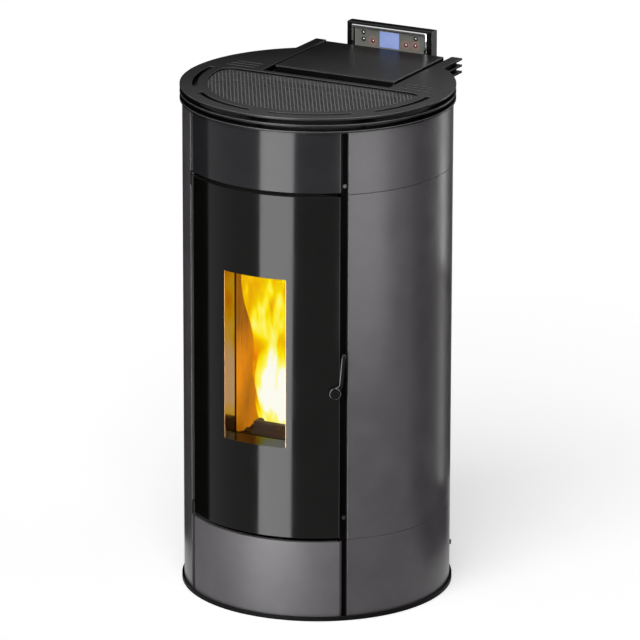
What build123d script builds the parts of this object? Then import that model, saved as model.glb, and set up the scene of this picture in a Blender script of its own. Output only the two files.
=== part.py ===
from build123d import *
import os
from math import cos, degrees, hypot, radians, sin, sqrt

# Free-standing round pellet stove, millimetres. The origin is on the stove's upright axis at
# floor level, +Z is up, the front faces -Y and +X is to the right of someone facing the front.
# Angles are measured round the stove from the front, positive towards +X.

# ---- Overall sizes ----
overall_height = 1020.0       # floor to the upper face of the top plate
body_radius = 265.0           # outer face of the curved panels
top_overhang = 5.0            # the top plates stand out past the panels
base_overhang = 4.5           # the base rim stands out past the panels
rear_projection = 25.0        # the rear casing stands out behind the panels' circle
rear_half_width = 148.0       # rear casing, stove axis to its outer side faces

# ---- Sheet metal and clearances ----
sheet = 1.5                   # panels and casings
frame_sheet = 2.0             # posts, partition and brackets
flange = 10.0                 # folded edges of the panels
bend_radius = 1.2             # outer bends of the panels
seam_gap = 1.0                # between two panels of one side
seat_gap = 0.3                # between pieces that are hung or hooked on each other
hole_gap = 1.0                # round a pipe or rod that passes through a plate
cut_past = 1.0                # a cutting shape runs this far past the face it opens
far = 400.0                   # reach of the cutting shapes that go right through
running_gap = 0.05            # radial, round a pin or shaft

# ---- Base ----
base_sheet = 3.0
rim_height = 9.0
rim_width = 2.0
rear_margin = 4.0             # base plate past the rear casing
foot_radius = 20.0
foot_clearance = 3.0          # base plate's hole round a foot's pad
foot_pad_height = 6.0
foot_stud_radius = 5.0
foot_bridge_height = 22.0
foot_inset = 60.0             # foot axis inside the panels' circle
foot_bridge_half_depth = 15.0
foot_stud_rise = 20.0         # stud above its bridge
foot_angles = (-50.0, 50.0, -133.0, 133.0)

# ---- Panels ----
lower_seam = 166.0
upper_seam = 866.0
front_gap = 8.5               # dark gap above and below the door
front_half_angle = 37.6       # door and front panels
side_start_angle = 41.0
side_end_angle = 146.0
front_return_depth = 9.0
return_start = 0.9            # side return behind the panel's outer edge
return_clear_angle = 0.4      # folded edges stop short of the side returns
post_setback = 10.0           # dark strips beside the door, behind the panels' face
post_depth = 20.0
post_half_angle_in = 37.8

# ---- Top ----
plate_thickness = 4.0
plate_pitch = 13.0
rear_wing_side = 16.0         # the plates' rear part stands out past the casing's sides
rear_wing_back = 9.0          # and past its back
grille_inset = 48.0           # grille opening inside the panels' circle
grille_back = 19.0
grille_corner = 25.0
corner_reach = 0.5            # a point this near a corner is that corner
vent_inset = 25.0             # middle of the arc vents inside the panels' circle
vent_width = 11.0
inner_ledge = 6.0             # lower plates' opening inside the arc vents
vent_arcs = ((6.0, 43.0), (56.0, 90.5))
side_slots = ((36.0, 224.0), (52.0, 221.0), (67.0, 215.0))   # Y and outer |X| of each slot
side_slot_start = 160.0
side_slot_width = 6.0
mesh_pitch = 25.0
mesh_hole = 19.0
mesh_sheet = 1.5
mesh_border = 1.0             # solid edge round the holes
mesh_margin = 6.0             # the mesh sheet laps under the top plate
spacer_radius = 6.0
spacer_angles = (0.0, 49.5, 96.0)
spacer_side = 4.0             # rear stand-offs outside the casing's sides
spacer_middle_y = 135.0
spacer_back = 3.0             # last stand-offs inside the casing's back

# ---- Lid ----
lid_margin = 14.0             # lid past each side of the hopper
lid_front_margin = 15.0
lid_side_gap = 9.0            # dark gap beside the lid
finger_gap = 37.0             # opening in front of the lid
lid_back_inset = 9.0          # lid's back inside the rear casing's back
lid_sheet = 2.0
lid_rise = 2.5                # lid's upper face above the top plate
lid_skirt = 13.5
lid_axis_offset = 4.0         # hinge axis behind the lid's back
lid_axis_drop = 8.0           # hinge axis below the top plate's upper face
lid_pin_radius = 2.5
lid_knuckle_radius = 4.5
lid_knuckle_width = 10.0
lid_ear_width = 6.0
lid_hinge_x = 100.0
lid_corner = 3.0
lid_edge = 1.5
lid_ear_root = 14.0           # ear's web inside the lid
lid_ear_half_height = 2.0
lid_bracket_half_depth = 3.0

# ---- Door ----
door_half_angle = 37.5
door_sheet = 2.0
door_edge_set = 0.35          # door's flat back in front of its skin's side edges
door_back_sheet = 3.0
window_half_angle = 14.7
window_bottom = 354.0
window_top = 695.0
tunnel_sheet = 1.5
glass_thickness = 4.0
glass_margin = 24.0
gasket_width = 10.0
gasket_thickness = 4.7
gasket_inset = 4.0            # gasket's inner edge outside the fire opening
door_axis_angle = 39.2
door_axis_setback = 3.0       # hinge axis behind the panels' face
knuckle_lap = 9.6             # knuckle's bar inside the door back's side edge
door_pin_radius = 3.0
door_knuckle_radius = 5.5
door_knuckle_height = 20.0
knuckle_bar_front = 4.0        # knuckle's bar in front of the hinge axis
knuckle_bar_back = 0.5
knuckle_bar_width = 6.0
rib_gap = 4.0                  # door's inner ribs above and below the glass
skin_lap = 0.5                 # window surround let into the door's skin
hinge_gap = 2.5                # between the door's knuckle and the bracket's arm
hinge_arm = 3.0
hinge_arm_half_angle = 0.8
hinge_tab = 2.0
hinge_tab_height = 11.0
hinge_tab_half_angle = 1.2

# ---- Door handle ----
handle_angle = 35.4
handle_height = 468.0
hub_radius = 12.0
hub_depth = 7.0
spindle_radius = 5.0
lever_half_width = 3.5
lever_elbow = (11.8, 16.0)    # sideways and up from the hub
lever_tip = (16.9, 76.0)
lever_thickness = 5.0
lever_lift = 2.0
hub_chamfer = 1.2
tip_margin = 0.8              # round tip past the lever's width
tip_rise = 4.0
tip_round = 1.5
nose_half_height = 5.0
nose_half_depth = 3.0
keeper_end = 3.0              # plates above and below the roller
keeper_depth = 6.0            # keeper behind the roller's axis
keeper_front_gap = 0.1
keeper_half_angle = 0.9
keeper_wall_angle = 0.4
keeper_side_angle = 0.2
keeper_angle = 38.3
keeper_setback = 19.0         # latch behind the panels' face
roller_radius = 3.5
roller_height = 18.0

# ---- Fire side ----
firebox_half_width = 128.0
firebox_sheet = 3.0
firebox_back = -20.0
firebox_bottom = 200.0
firebox_top = 800.0
firebox_flange_half_width = 132.0
firebox_flange_height = 15.0
mouth_half_width = 110.0
mouth_top = 770.0
liner_thickness = 12.0
liner_rib = 3.0
liner_top = 742.0
baffle_thickness = 8.0
shelf_height = 318.0
pot_half_width = 43.0
pot_centre_y = -120.0
pot_rim_height = 366.0
pot_depth = 44.0
pot_wall = 4.0
pot_lip = 7.0
ash_pan_height = 78.0
igniter_radius = 5.0
igniter_drop = 26.0           # igniter below the pot's rim
igniter_tip_reach = 1.0         # igniter's tip inside the pot's wall
igniter_collar_radius = 14.0
igniter_collar_thickness = 5.0
igniter_tail = 38.0
igniter_tail_radius = 6.0
firebox_flange = 6.0
shelf_front = 12.0            # shelf behind the flange's face
stand_front = 16.0
stand_back = 12.0
pot_opening = 56.0            # hole in the shelf below the pot
ash_slot_x = 88.0
ash_slot_length = 44.0
ash_slot_width = 8.0
ash_slot_pitch = 24.0
liner_front = 14.0
liner_rib_half_width = 5.5
liner_side_pitch = 25.0
liner_rear_pitch = 28.0
baffle_front = 24.0
baffle_notch = (40.0, 90.0)
baffle_notch_depth = 14.0
pot_hole = 5.0
pot_hole_pitch = 13.0
pot_side_pitch = 16.0
pot_side_drop = 20.0          # side air holes below the pot's rim
cradle_upper_wall = 9.0
cradle_lower_wall = 17.0
cradle_back_wall = 11.0
ash_pan_side_gap = 2.0
ash_pan_front = 10.0
ash_pan_back = -62.0
ash_pan_sheet = 1.2
ash_grip_half_width = 35.0
ash_grip_reach = 3.5
ash_grip_drop = 14.0

# ---- Feed side ----
partition_y = 36.0
partition_half_width = 205.0
hopper_half_width = 118.0
hopper_front = 82.0
hopper_back_inset = 24.0      # hopper inside the rear casing's back
hopper_straight_bottom = 760.0
hopper_lid_gap = 4.5          # hopper's rim below the lid's underside
hopper_flange_side = 4.0      # flange past the lid opening
hopper_flange_end = 7.0
throat_half_width = 24.0
throat_front = 174.0
throat_back = 220.0
throat_rise = 6.6             # hopper's throat above the feed tube's upper side
auger_low = (0.0, 197.0, 430.0)
auger_high = (0.0, 72.0, 630.0)
auger_tube_radius = 30.0
auger_tube_wall = 2.0
auger_tube_flange = 8.0
spout_rise = 20.0             # spout's lower end above the feed tube's lower end
auger_radius = 27.0
auger_core = 8.0
auger_pitch = 42.0
auger_flight = 2.5
auger_flight_start = 4.0
auger_flight_margin = 12.0    # bare shaft left at the flight's ends
gearbox_radius = 36.0
gearbox_length = 40.0
gearmotor_length = 92.0
gearmotor_can_radius = 28.0
auger_end_plate = 3.0
auger_shaft_reach = 22.0      # shaft below the feed tube's lower end
auger_shaft_room = 4.0        # bore past the shaft's end
can_rib_height = 3.0
can_rib_half_width = 1.5
can_rib_margin = 6.0
can_ribs = 8
chute_radius = 22.0
chute_wall = 1.5
chute_inset = 8.0             # chute's edge below the feed tube's end
chute_end = (0.0, -55.0, 438.0)

# ---- Fans and pipes ----
exhaust_port_inset = 21.0     # scroll's outer side inside the firebox's side
exhaust_y = 130.0
exhaust_height = 250.0
exhaust_side = 1.0            # flue radius past the scroll's half width
exhaust_scroll = 80.0
exhaust_impeller_radius = 58.0
exhaust_wall = 3.0            # cast walls of the scroll
exhaust_eye = 30.0            # smoke inlet in the scroll's side
exhaust_shaft_hole = 6.0
exhaust_foot_half_width = 20.0
exhaust_foot_half_depth = 8.0
impeller_disc_offset = 16.0   # impeller's disc towards the motor from the scroll's middle
impeller_disc = 2.0
exhaust_blades = 8
exhaust_blade_root = 18.0
exhaust_blade_depth = 24.0
exhaust_hub_radius = 11.0
exhaust_hub_front = 12.0      # hub in front of the disc
exhaust_hub_back = 8.0
smoke_duct_width = 20.0
smoke_duct_half_height = 40.0
smoke_duct_wall = 2.0
smoke_duct_past = 42.0         # smoke duct behind the fan's axis
flue_radius = 40.0
flue_wall = 2.0
pipe_hole_gap = 0.5            # casing's holes round the flue and the intake pipe
flue_reach = 45.0              # spigot behind the rear casing
flue_collar = 12.0             # width of the wall collar round the spigot
flue_inner_length = 78.0       # spigot inside the rear casing
flue_lap = 20.0                # spigot over the scroll's outlet
exhaust_motor_radius = 30.0
exhaust_motor_length = 60.0
exhaust_motor_flange = 38.0
exhaust_motor_flange_thickness = 4.0
motor_rib_height = 3.0
motor_ribs = 2
motor_rib_pitch = 18.0
motor_bore_depth = 42.0
motor_shaft_radius = 4.0
motor_shaft_reach = 40.0
room_fan_centre = (72.0, 122.0, 112.0)
room_fan_half_width = 42.0
room_fan_scroll = 75.0
room_fan_radius = 56.0
room_fan_blades = 18
room_fan_duct_height = 50.0
room_fan_eye = 44.0
room_fan_foot = 3.0
room_fan_foot_inset = 8.0
room_fan_foot_half_depth = 28.0
spider_half_width = 6.0
room_fan_axle_radius = 4.0
room_fan_axle_inset = 22.0
room_wheel_half_width = 32.0
room_hub_radius = 24.0
room_hub_insets = (4.0, 20.0)
room_blade_depth = 9.0
room_blade_sheet = 1.6
fan_wall = 2.0
intake_radius = 25.0
intake_wall = 2.0
intake_motor_gap = 4.0        # intake pipe beside the exhaust fan's motor
intake_height = 262.0
intake_reach = 35.0            # intake pipe behind the rear casing
intake_collar = 9.0

# ---- Controls ----
display_half_width = 95.0
display_gap = 12.0            # display's face behind the rear casing
display_depth = 22.0
display_rise = 44.0           # display's top above the top plate
display_height = 99.0
display_travel = 46.0
bezel_half_width = 84.0
bezel_rise = 40.0
bezel_drop = 10.0
bezel_width = 4.5
bezel_proud = 4.5
screen_half_width = 21.7
screen_rise = 31.5
screen_drop = 1.0
button_radius = 2.8
button_pocket = 3.0           # depth of a button's bore
button_length = 3.4
button_proud = 2.0
case_round = 2.0
bezel_corner = 3.0
bezel_chamfer = 1.2
screen_depth = 2.0
screen_proud = 0.4
screen_gap = 0.1
button_places = ((-58.5, 25.0), (-58.0, 11.0), (-37.0, 10.0), (37.0, 10.0), (58.0, 11.0), (58.5, 25.0))
guide_drop = 20.0             # guide's top below the top plate
guide_wall = 2.0
guide_gap = 0.4
guide_floor_gap = 4.0         # below the display when it is pushed down
guide_lip = 1.6
guide_lip_gap = 1.0           # lips beside the bezel
inlet_x = 108.0
inlet_height = 80.0
inlet_half_width = 15.0
inlet_half_height = 24.0
inlet_depth = 28.0
inlet_face = 2.5
inlet_face_margin = 3.0
socket_half_width = 11.0
socket_half_height = 7.0
socket_drop = 12.0            # socket's middle below the inlet's middle
socket_depth = 16.0
socket_pins = ((-7.0, -1.0), (7.0, -1.0), (0.0, 2.0))   # X and Z from the socket's middle
pin_half_width = 1.0
pin_half_height = 2.0
pin_reach = 14.0
rocker_rise = 12.0            # rocker's pivot above the inlet's middle
rocker_well_half = 8.0
rocker_well_depth = 12.0
rocker_pivot_depth = 1.0      # pivot inside the casing's back face
rocker_pin_radius = 1.5
rocker_pin_half_length = 9.6
rocker_pocket_half_length = 10.0
rocker_half_width = 7.5
rocker_half_height = 6.6
rocker_back = 4.5
rocker_front = 3.4
rocker_hollow_radius = 9.0    # hollow of the rocker's face
rocker_hollow_offset = 11.2
switch_tilt = 8.0

# ---- Control board ----
board_x = (126.0, 198.0)
board_z = (500.0, 640.0)
board_sheet = 1.6
board_stand = 12.0            # stand-offs between the partition and the board
board_stand_half = 3.0
board_stand_inset = 6.0
transformer_size = (28.0, 26.0, 36.0)
transformer_corner = (6.0, 96.0)
relay_size = (20.0, 14.0, 14.0)
relay_corner = (42.0, 18.0)
relay_pitch = 20.0
relays = 4
fuse_size = (8.0, 16.0, 8.0)
fuse_corner = (10.0, 56.0)
fuse_pitch = 10.0
fuses = 3
connector_size = (28.0, 9.0, 10.0)
connector_corner = (6.0, 6.0)

# ---- Louvres and screws ----
louvre_rows = 9
louvre_low = 420.0
louvre_pitch = 16.0
louvre_length = 84.0
louvre_width = 6.0
louvre_x = 70.0
screw_radius = 2.0
screw_head_radius = 4.0
screw_head_height = 2.2
screw_length = 9.0
screw_angle = 39.8
screw_heights = (209.0, 881.0)

# ---- Levels and radii worked out from the sizes above ----
rear_depth = body_radius + rear_projection
top_radius = body_radius + top_overhang
base_radius = body_radius + base_overhang
upper_plate_z = overall_height - plate_thickness
middle_plate_z = upper_plate_z - plate_pitch
lower_plate_z = middle_plate_z - plate_pitch
panel_top = lower_plate_z - seat_gap
door_bottom = lower_seam - front_gap / 2 + front_gap
door_top = upper_seam - front_gap / 2
front_bottom_top = lower_seam - front_gap / 2
front_top_bottom = upper_seam + front_gap / 2
post_radius = body_radius - post_setback
foot_circle = body_radius - foot_inset
rear_wing_half_width = rear_half_width + rear_wing_side
rear_wing_depth = rear_depth + rear_wing_back
grille_radius = body_radius - grille_inset
vent_radius = body_radius - vent_inset
lid_half_width = hopper_half_width + lid_margin
lid_front = hopper_front - lid_front_margin
lid_back = rear_depth - lid_back_inset
lid_axis_y = lid_back + lid_axis_offset
opening_half_width = lid_half_width + lid_side_gap
opening_front = lid_front - finger_gap
hopper_back = rear_depth - hopper_back_inset
door_back = (body_radius - door_sheet) * cos(radians(door_half_angle)) + door_edge_set
door_axis_radius = body_radius - door_axis_setback
keeper_radius = body_radius - keeper_setback
exhaust_half_width = flue_radius - exhaust_side
exhaust_centre = (exhaust_port_inset - firebox_half_width + exhaust_half_width, exhaust_y, exhaust_height)
exhaust_motor_end = exhaust_centre[0] + exhaust_half_width + exhaust_motor_length
intake_x = exhaust_motor_end + intake_motor_gap + intake_radius
flue_end = rear_depth + flue_reach
intake_end = rear_depth + intake_reach
display_front = rear_depth + display_gap
display_bottom = overall_height + display_rise - display_height
guide_top = overall_height - guide_drop


def around(radius, angle):
    """Plan position at a radius and an angle from the front."""
    return radius * sin(radians(angle)), -radius * cos(radians(angle))


def block(x, y, z):
    """Box between two values on each axis."""
    size = (x[1] - x[0], y[1] - y[0], z[1] - z[0])
    return Pos((x[0] + x[1]) / 2, (y[0] + y[1]) / 2, (z[0] + z[1]) / 2) * Box(*size)


def rod(start, end, radius):
    """Round bar between two points."""
    run = Vector(*end) - Vector(*start)
    bar = Cylinder(radius, run.length, align=(Align.CENTER, Align.CENTER, Align.MIN))
    return Plane(origin=start, z_dir=run) * bar


def tube(start, end, outer, inner):
    """Round tube between two points."""
    return rod(start, end, outer) - rod(start, end, inner)


def sector(inner, outer, first, last, low, high):
    """Ring sector between two radii, two angles and two heights."""
    middle = (first + last) / 2
    outline = Curve() + [
        ThreePointArc(around(outer, first), around(outer, middle), around(outer, last)),
        Line(around(outer, last), around(inner, last)),
        ThreePointArc(around(inner, last), around(inner, middle), around(inner, first)),
        Line(around(inner, first), around(outer, first)),
    ]
    return Pos(0, 0, low) * extrude(make_face(outline), high - low)


def both_sides(shape):
    """A shape and its mirror image across the stove's middle plane."""
    return Part() + [shape, mirror(shape, about=Plane.YZ)]


def welded(*shapes):
    """Sheets or castings that meet face to face and keep their own solids."""
    return Compound([solid for shape in shapes for solid in shape.solids()])


# ---- Base and frame ----

def footprint(radius, half_width, depth, height):
    """Round plate with a rectangular rear part."""
    return Cylinder(radius, height, align=(Align.CENTER, Align.CENTER, Align.MIN)) + block(
        (-half_width, half_width), (0, depth), (0, height)
    )


def make_base_plate():
    """Base tray with an upstanding rim and a bridge over each levelling foot."""
    half_width = rear_half_width + rear_margin
    depth = rear_depth + rear_margin
    tray = footprint(base_radius, half_width, depth, rim_height)
    tray -= Pos(0, 0, base_sheet) * footprint(
        base_radius - rim_width, half_width - rim_width, depth - rim_width, rim_height
    )
    foot_hole = foot_radius + foot_clearance
    bridge_wall = foot_hole + frame_sheet
    for angle in foot_angles:
        spot = Pos(*around(foot_circle, angle), 0)
        depth_y = (-foot_bridge_half_depth, foot_bridge_half_depth)
        bridge = block((-bridge_wall, bridge_wall), depth_y, (base_sheet, foot_bridge_height))
        bridge -= block((-foot_hole, foot_hole), (-far, far), (0, foot_bridge_height - 2 * frame_sheet))
        tray -= spot * Cylinder(foot_hole, 3 * base_sheet)
        tray += spot * bridge
        stud_hole = Cylinder(foot_stud_radius + running_gap, foot_bridge_height)
        tray -= spot * Pos(0, 0, foot_bridge_height) * stud_hole
    return tray


def make_levelling_feet():
    """Four screwed feet, wound right in, with their pads level with the underside."""
    foot = Cylinder(foot_radius, foot_pad_height, align=(Align.CENTER, Align.CENTER, Align.MIN))
    foot += rod((0, 0, foot_pad_height), (0, 0, foot_bridge_height + foot_stud_rise), foot_stud_radius)
    return Part() + [Pos(*around(foot_circle, angle), 0) * foot for angle in foot_angles]


def make_front_post():
    """Open channel beside the door; its outer face is the dark recessed strip."""
    side_wall = degrees(frame_sheet / body_radius)
    wall_angle = side_start_angle - degrees(seat_gap / body_radius)
    inner = post_radius - post_depth
    post = sector(inner, post_radius, post_half_angle_in, wall_angle, base_sheet, lower_plate_z)
    post -= sector(
        inner + frame_sheet, post_radius - frame_sheet, 0, wall_angle - side_wall, 0, overall_height
    )
    for height in screw_heights:
        ahead = around(post_radius + screw_length, screw_angle)
        behind = around(post_radius - screw_length, screw_angle)
        post -= rod((*behind, height), (*ahead, height), screw_radius + running_gap)
    return post


def rear_corner():
    """Plan position of the rear casing's corner with the side panels."""
    return rear_half_width, sqrt(body_radius**2 - rear_half_width**2)


def make_frame_posts():
    """Four upright posts between the base and the lowest top plate."""
    corner_x, corner_y = rear_corner()
    outer_x = corner_x - sheet - seat_gap
    start_y = corner_y + seat_gap
    height = (base_sheet, lower_plate_z)
    rear_post = block((outer_x - post_depth, outer_x), (start_y, start_y + frame_sheet), height)
    rear_post += block((outer_x - frame_sheet, outer_x), (start_y, start_y + post_depth), height)
    return both_sides(make_front_post()) + both_sides(rear_post)


def make_partition():
    """Upright plate between the fire side and the feed side, with the openings that cross it."""
    plate = block(
        (-partition_half_width, partition_half_width),
        (partition_y, partition_y + frame_sheet),
        (base_sheet, lower_plate_z),
    )
    through = (0, 2 * partition_y)
    duct_side = exhaust_centre[0] - exhaust_half_width
    duct_z = (exhaust_height - smoke_duct_half_height, exhaust_height + smoke_duct_half_height)
    plate -= block(
        (duct_side - smoke_duct_width - 3 * hole_gap, duct_side + 2 * hole_gap),
        through,
        (duct_z[0] - 2 * hole_gap, duct_z[1] + 2 * hole_gap),
    )
    fan_x, _, fan_z = room_fan_centre
    plate -= block(
        (fan_x - room_fan_half_width - hole_gap, fan_x + room_fan_half_width + hole_gap),
        through,
        (fan_z + room_fan_scroll - room_fan_duct_height - 5 * hole_gap, fan_z + room_fan_scroll + hole_gap),
    )
    pipe_line = [(intake_x, y, intake_height) for y in through]
    plate -= rod(*pipe_line, intake_radius + seat_gap)
    plate -= rod(chute_start(), chute_end, chute_radius + 3 * hole_gap)
    return plate - igniter_way(igniter_radius + 3 * hole_gap)


# ---- Outer panels ----

def bent_panel(first, last, low, high):
    """Curved panel with folded edges all round."""
    inner = body_radius - sheet
    deep = inner - flange
    fold = degrees(sheet / body_radius)
    panel = sector(inner, body_radius, first, last, low, high)
    panel += sector(deep, inner, first, first + fold, low, high)
    panel += sector(deep, inner, last - fold, last, low, high)
    panel += sector(deep, inner, first, last, low, low + sheet)
    panel += sector(deep, inner, first, last, high - sheet, high)
    return fillet(outer_bends(panel), bend_radius)


def outer_bends(panel):
    """Upright edges on a panel's outer face."""
    upright = panel.edges().filter_by(Axis.Z)
    return [edge for edge in upright if abs(hypot((edge @ 0).X, (edge @ 0).Y) - body_radius) < 0.01]


def side_panel(low, high):
    """One tier of the right-hand side."""
    return bent_panel(side_start_angle, side_end_angle, low, high)


def front_panel(low, high):
    """Curved front panel with its side returns parallel to the stove's depth."""
    inner = body_radius - sheet
    x, y = around(body_radius, front_half_angle)
    panel = sector(inner, body_radius, -front_half_angle, front_half_angle, low, high)
    side = block((x - sheet, x), (y + return_start, y + front_return_depth), (low, high))
    panel += both_sides(side)
    fold_angle = front_half_angle - return_clear_angle
    for edge_low in (low, high - sheet):
        panel += sector(inner - flange, inner, -fold_angle, fold_angle, edge_low, edge_low + sheet)
    return panel


def make_rear_panel():
    """Folded rear casing with louvres and the holes for the pipes and the mains inlet."""
    corner_x, corner_y = rear_corner()
    start_y = corner_y + 2 * seat_gap
    low = base_sheet
    shell = block((-corner_x, corner_x), (start_y, rear_depth), (low, panel_top))
    shell -= block((sheet - corner_x, corner_x - sheet), (0, rear_depth - sheet), (0, overall_height))
    for row in range(louvre_rows):
        height = louvre_low + row * louvre_pitch
        slot = Pos(0, rear_depth, height) * Box(louvre_length, 4 * sheet, louvre_width)
        shell -= Pos(louvre_x, 0, 0) * slot
        shell -= Pos(-louvre_x, 0, 0) * slot
    through = (rear_depth - 2 * sheet, rear_depth + cut_past)
    flue_line = [(exhaust_centre[0], y, flue_height()) for y in through]
    shell -= rod(*flue_line, flue_radius + pipe_hole_gap)
    intake_line = [(intake_x, y, intake_height) for y in through]
    shell -= rod(*intake_line, intake_radius + pipe_hole_gap)
    cut_x = inlet_half_width + seat_gap
    cut_z = inlet_half_height + seat_gap
    return shell - block(
        (inlet_x - cut_x, inlet_x + cut_x), through, (inlet_height - cut_z, inlet_height + cut_z)
    )


# ---- Top ----

def plate_outline():
    """Outline shared by the three top plates."""
    return footprint(top_radius, rear_wing_half_width, rear_wing_depth, plate_thickness)


def opening_cut():
    """Opening for the hopper and its lid, open towards the rear."""
    return block((-opening_half_width, opening_half_width), (opening_front, far), (-far, far))


def grille_outline(radius, back):
    """Front part of a disc, cut straight at the back with rounded corners."""
    half = sqrt(radius**2 - back**2)
    disc = Circle(radius)
    outline = disc & (Pos(0, back - radius) * Rectangle(2 * radius, 2 * radius))
    corners = [v for v in outline.vertices() if abs(abs(v.X) - half) < corner_reach]
    return fillet(corners, grille_corner)


def make_top_plate_upper():
    """Top plate with its arc vents, side slots, grille opening and lid opening."""
    plate = plate_outline() - opening_cut()
    plate -= extrude(grille_outline(grille_radius, grille_back), far, both=True)
    half = vent_width / 2
    through = (-cut_past, plate_thickness + cut_past)
    for first, last in vent_arcs:
        vent = sector(vent_radius - half, vent_radius + half, first, last, *through)
        for angle in (first, last):
            vent += Pos(*around(vent_radius, angle), 0) * Cylinder(half, 3 * plate_thickness)
        plate -= both_sides(vent)
    for y, outer in side_slots:
        width = outer - side_slot_start
        slot = extrude(SlotOverall(width, side_slot_width), 2 * plate_thickness, both=True)
        plate -= both_sides(Pos(side_slot_start + width / 2, y, 0) * slot)
    return Pos(0, 0, upper_plate_z) * plate


def make_inner_plate(height):
    """One of the two plates below the top plate, open in the middle for the warm air."""
    plate = plate_outline() - opening_cut()
    open_radius = vent_radius - vent_width / 2 - inner_ledge
    plate -= extrude(grille_outline(open_radius, grille_back), far, both=True)
    return Pos(0, 0, height) * plate


def make_top_spacers():
    """Hexagonal stand-offs that hold the three top plates apart."""
    spots = [around(vent_radius, angle) for angle in spacer_angles]
    side = rear_half_width + spacer_side
    spots += [(side, spacer_middle_y), (side, rear_depth - spacer_back)]
    spots += [(-x, y) for x, y in spots if x > spacer_radius]
    standoff = extrude(RegularPolygon(spacer_radius, 6), plate_pitch - plate_thickness)
    levels = (lower_plate_z + plate_thickness, middle_plate_z + plate_thickness)
    return Part() + [Pos(x, y, level) * standoff for level in levels for x, y in spots]


def make_top_grille():
    """Perforated sheet under the top plate with a diagonal pattern of square holes."""
    outer = grille_outline(grille_radius + mesh_margin, grille_back + mesh_margin)
    reach = mesh_hole / sqrt(2)
    clear = grille_radius - reach - mesh_border
    back_limit = grille_back - reach - mesh_border
    corner_limit = grille_radius - grille_corner
    holes = []
    half_pitch = mesh_pitch / sqrt(2)
    rows = int(2 * grille_radius / half_pitch)
    for row in range(-rows, rows):
        for column in range(-rows, rows):
            x = column * half_pitch
            y = row * half_pitch
            if (row + column) % 2 or hypot(x, y) > clear or y > back_limit:
                continue
            if y > back_limit - grille_corner and abs(x) > corner_limit:
                continue
            hole = Pos(x, y) * Rot(0, 0, 45) * Rectangle(mesh_hole, mesh_hole)
            holes.append(hole.wire())
    sheet_face = Face(outer.wire(), holes)
    return Pos(0, 0, upper_plate_z - mesh_sheet) * extrude(sheet_face, mesh_sheet)


# ---- Fire side ----

def feed_direction():
    """Unit vector up the auger."""
    return (Vector(*auger_high) - Vector(*auger_low)).normalized()


def chute_start():
    """Where the chute's axis leaves the auger's axis."""
    return tuple(Vector(*auger_high) - feed_direction() * (chute_radius + chute_inset))


def igniter_height():
    """Height of the igniter, which enters the pot through its back wall."""
    return pot_rim_height - igniter_drop


def igniter_way(radius):
    """Bar along the igniter, from inside the pot to behind the partition."""
    start = (0, pot_centre_y + pot_half_width / 2, igniter_height())
    return rod(start, (0, 2 * partition_y, igniter_height()), radius)


def firebox_face():
    """Y of the firebox flange's face, which meets the door's rope seal."""
    return gasket_thickness + seat_gap - door_back


def flue_height():
    """Height of the flue, level with the lower side of the exhaust scroll."""
    return exhaust_centre[2] - exhaust_scroll + flue_radius


def exhaust_port():
    """Passage between the firebox and the exhaust fan."""
    side = exhaust_centre[0] - exhaust_half_width
    half = smoke_duct_half_height - smoke_duct_wall
    return block(
        (side - smoke_duct_width + 2 * smoke_duct_wall, side - smoke_duct_wall),
        (2 * firebox_back, partition_y),
        (exhaust_height - half, exhaust_height + half),
    )


def firebox_rear():
    """Rear plate of the firebox with its smoke, air, igniter and pellet holes."""
    wall = firebox_sheet
    inside = firebox_half_width - wall
    height = (firebox_bottom + wall, firebox_top - wall)
    plate = block((-inside, inside), (firebox_back - wall, firebox_back), height)
    plate -= rod(chute_start(), chute_end, chute_radius + seat_gap)
    plate -= igniter_way(igniter_radius + seat_gap)
    intake_line = [(intake_x, y, intake_height) for y in (2 * firebox_back, 0)]
    plate -= rod(*intake_line, intake_radius + seat_gap)
    return plate - exhaust_port()


def firebox_walls():
    """Top, bottom and side plates of the firebox."""
    wall = firebox_sheet
    inside = firebox_half_width - wall
    depth = (firebox_face() + firebox_flange, firebox_back)
    bottom = block((-inside, inside), depth, (firebox_bottom, firebox_bottom + wall))
    top = block((-inside, inside), depth, (firebox_top - wall, firebox_top))
    side = block((inside, firebox_half_width), depth, (firebox_bottom, firebox_top))
    return welded(bottom, top, both_sides(side))


def firebox_rim():
    """Flat front flange round the mouth, which the door's rope seal meets."""
    wide = firebox_flange_half_width
    depth = (firebox_face(), firebox_face() + firebox_flange)
    sill = firebox_bottom + firebox_sheet
    bottom = block((-wide, wide), depth, (firebox_bottom - firebox_flange_height, sill))
    top = block((-wide, wide), depth, (mouth_top, firebox_top + firebox_flange_height))
    return welded(bottom, top, both_sides(block((mouth_half_width, wide), depth, (sill, mouth_top))))


def make_firebox():
    """Welded combustion chamber: walls, rear plate, front flange, slotted shelf and stand."""
    wall = firebox_sheet
    half = firebox_half_width
    shelf_y = (firebox_face() + shelf_front, firebox_back - wall)
    shelf = block((wall - half, half - wall), shelf_y, (shelf_height - wall, shelf_height))
    shelf -= Pos(0, pot_centre_y, shelf_height) * Box(pot_opening, pot_opening, 4 * wall)
    for x in (-ash_slot_x, ash_slot_x):
        slots = Pos(x, pot_centre_y, shelf_height) * GridLocations(0, ash_slot_pitch, 1, 4)
        shelf -= [place * Box(ash_slot_length, ash_slot_width, 4 * wall) for place in slots]
    stand_y = (firebox_face() + stand_front, firebox_back - stand_back)
    stand = both_sides(block((half - wall, half), stand_y, (base_sheet, firebox_bottom)))
    return welded(firebox_walls(), firebox_rear(), firebox_rim(), shelf, stand)


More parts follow.
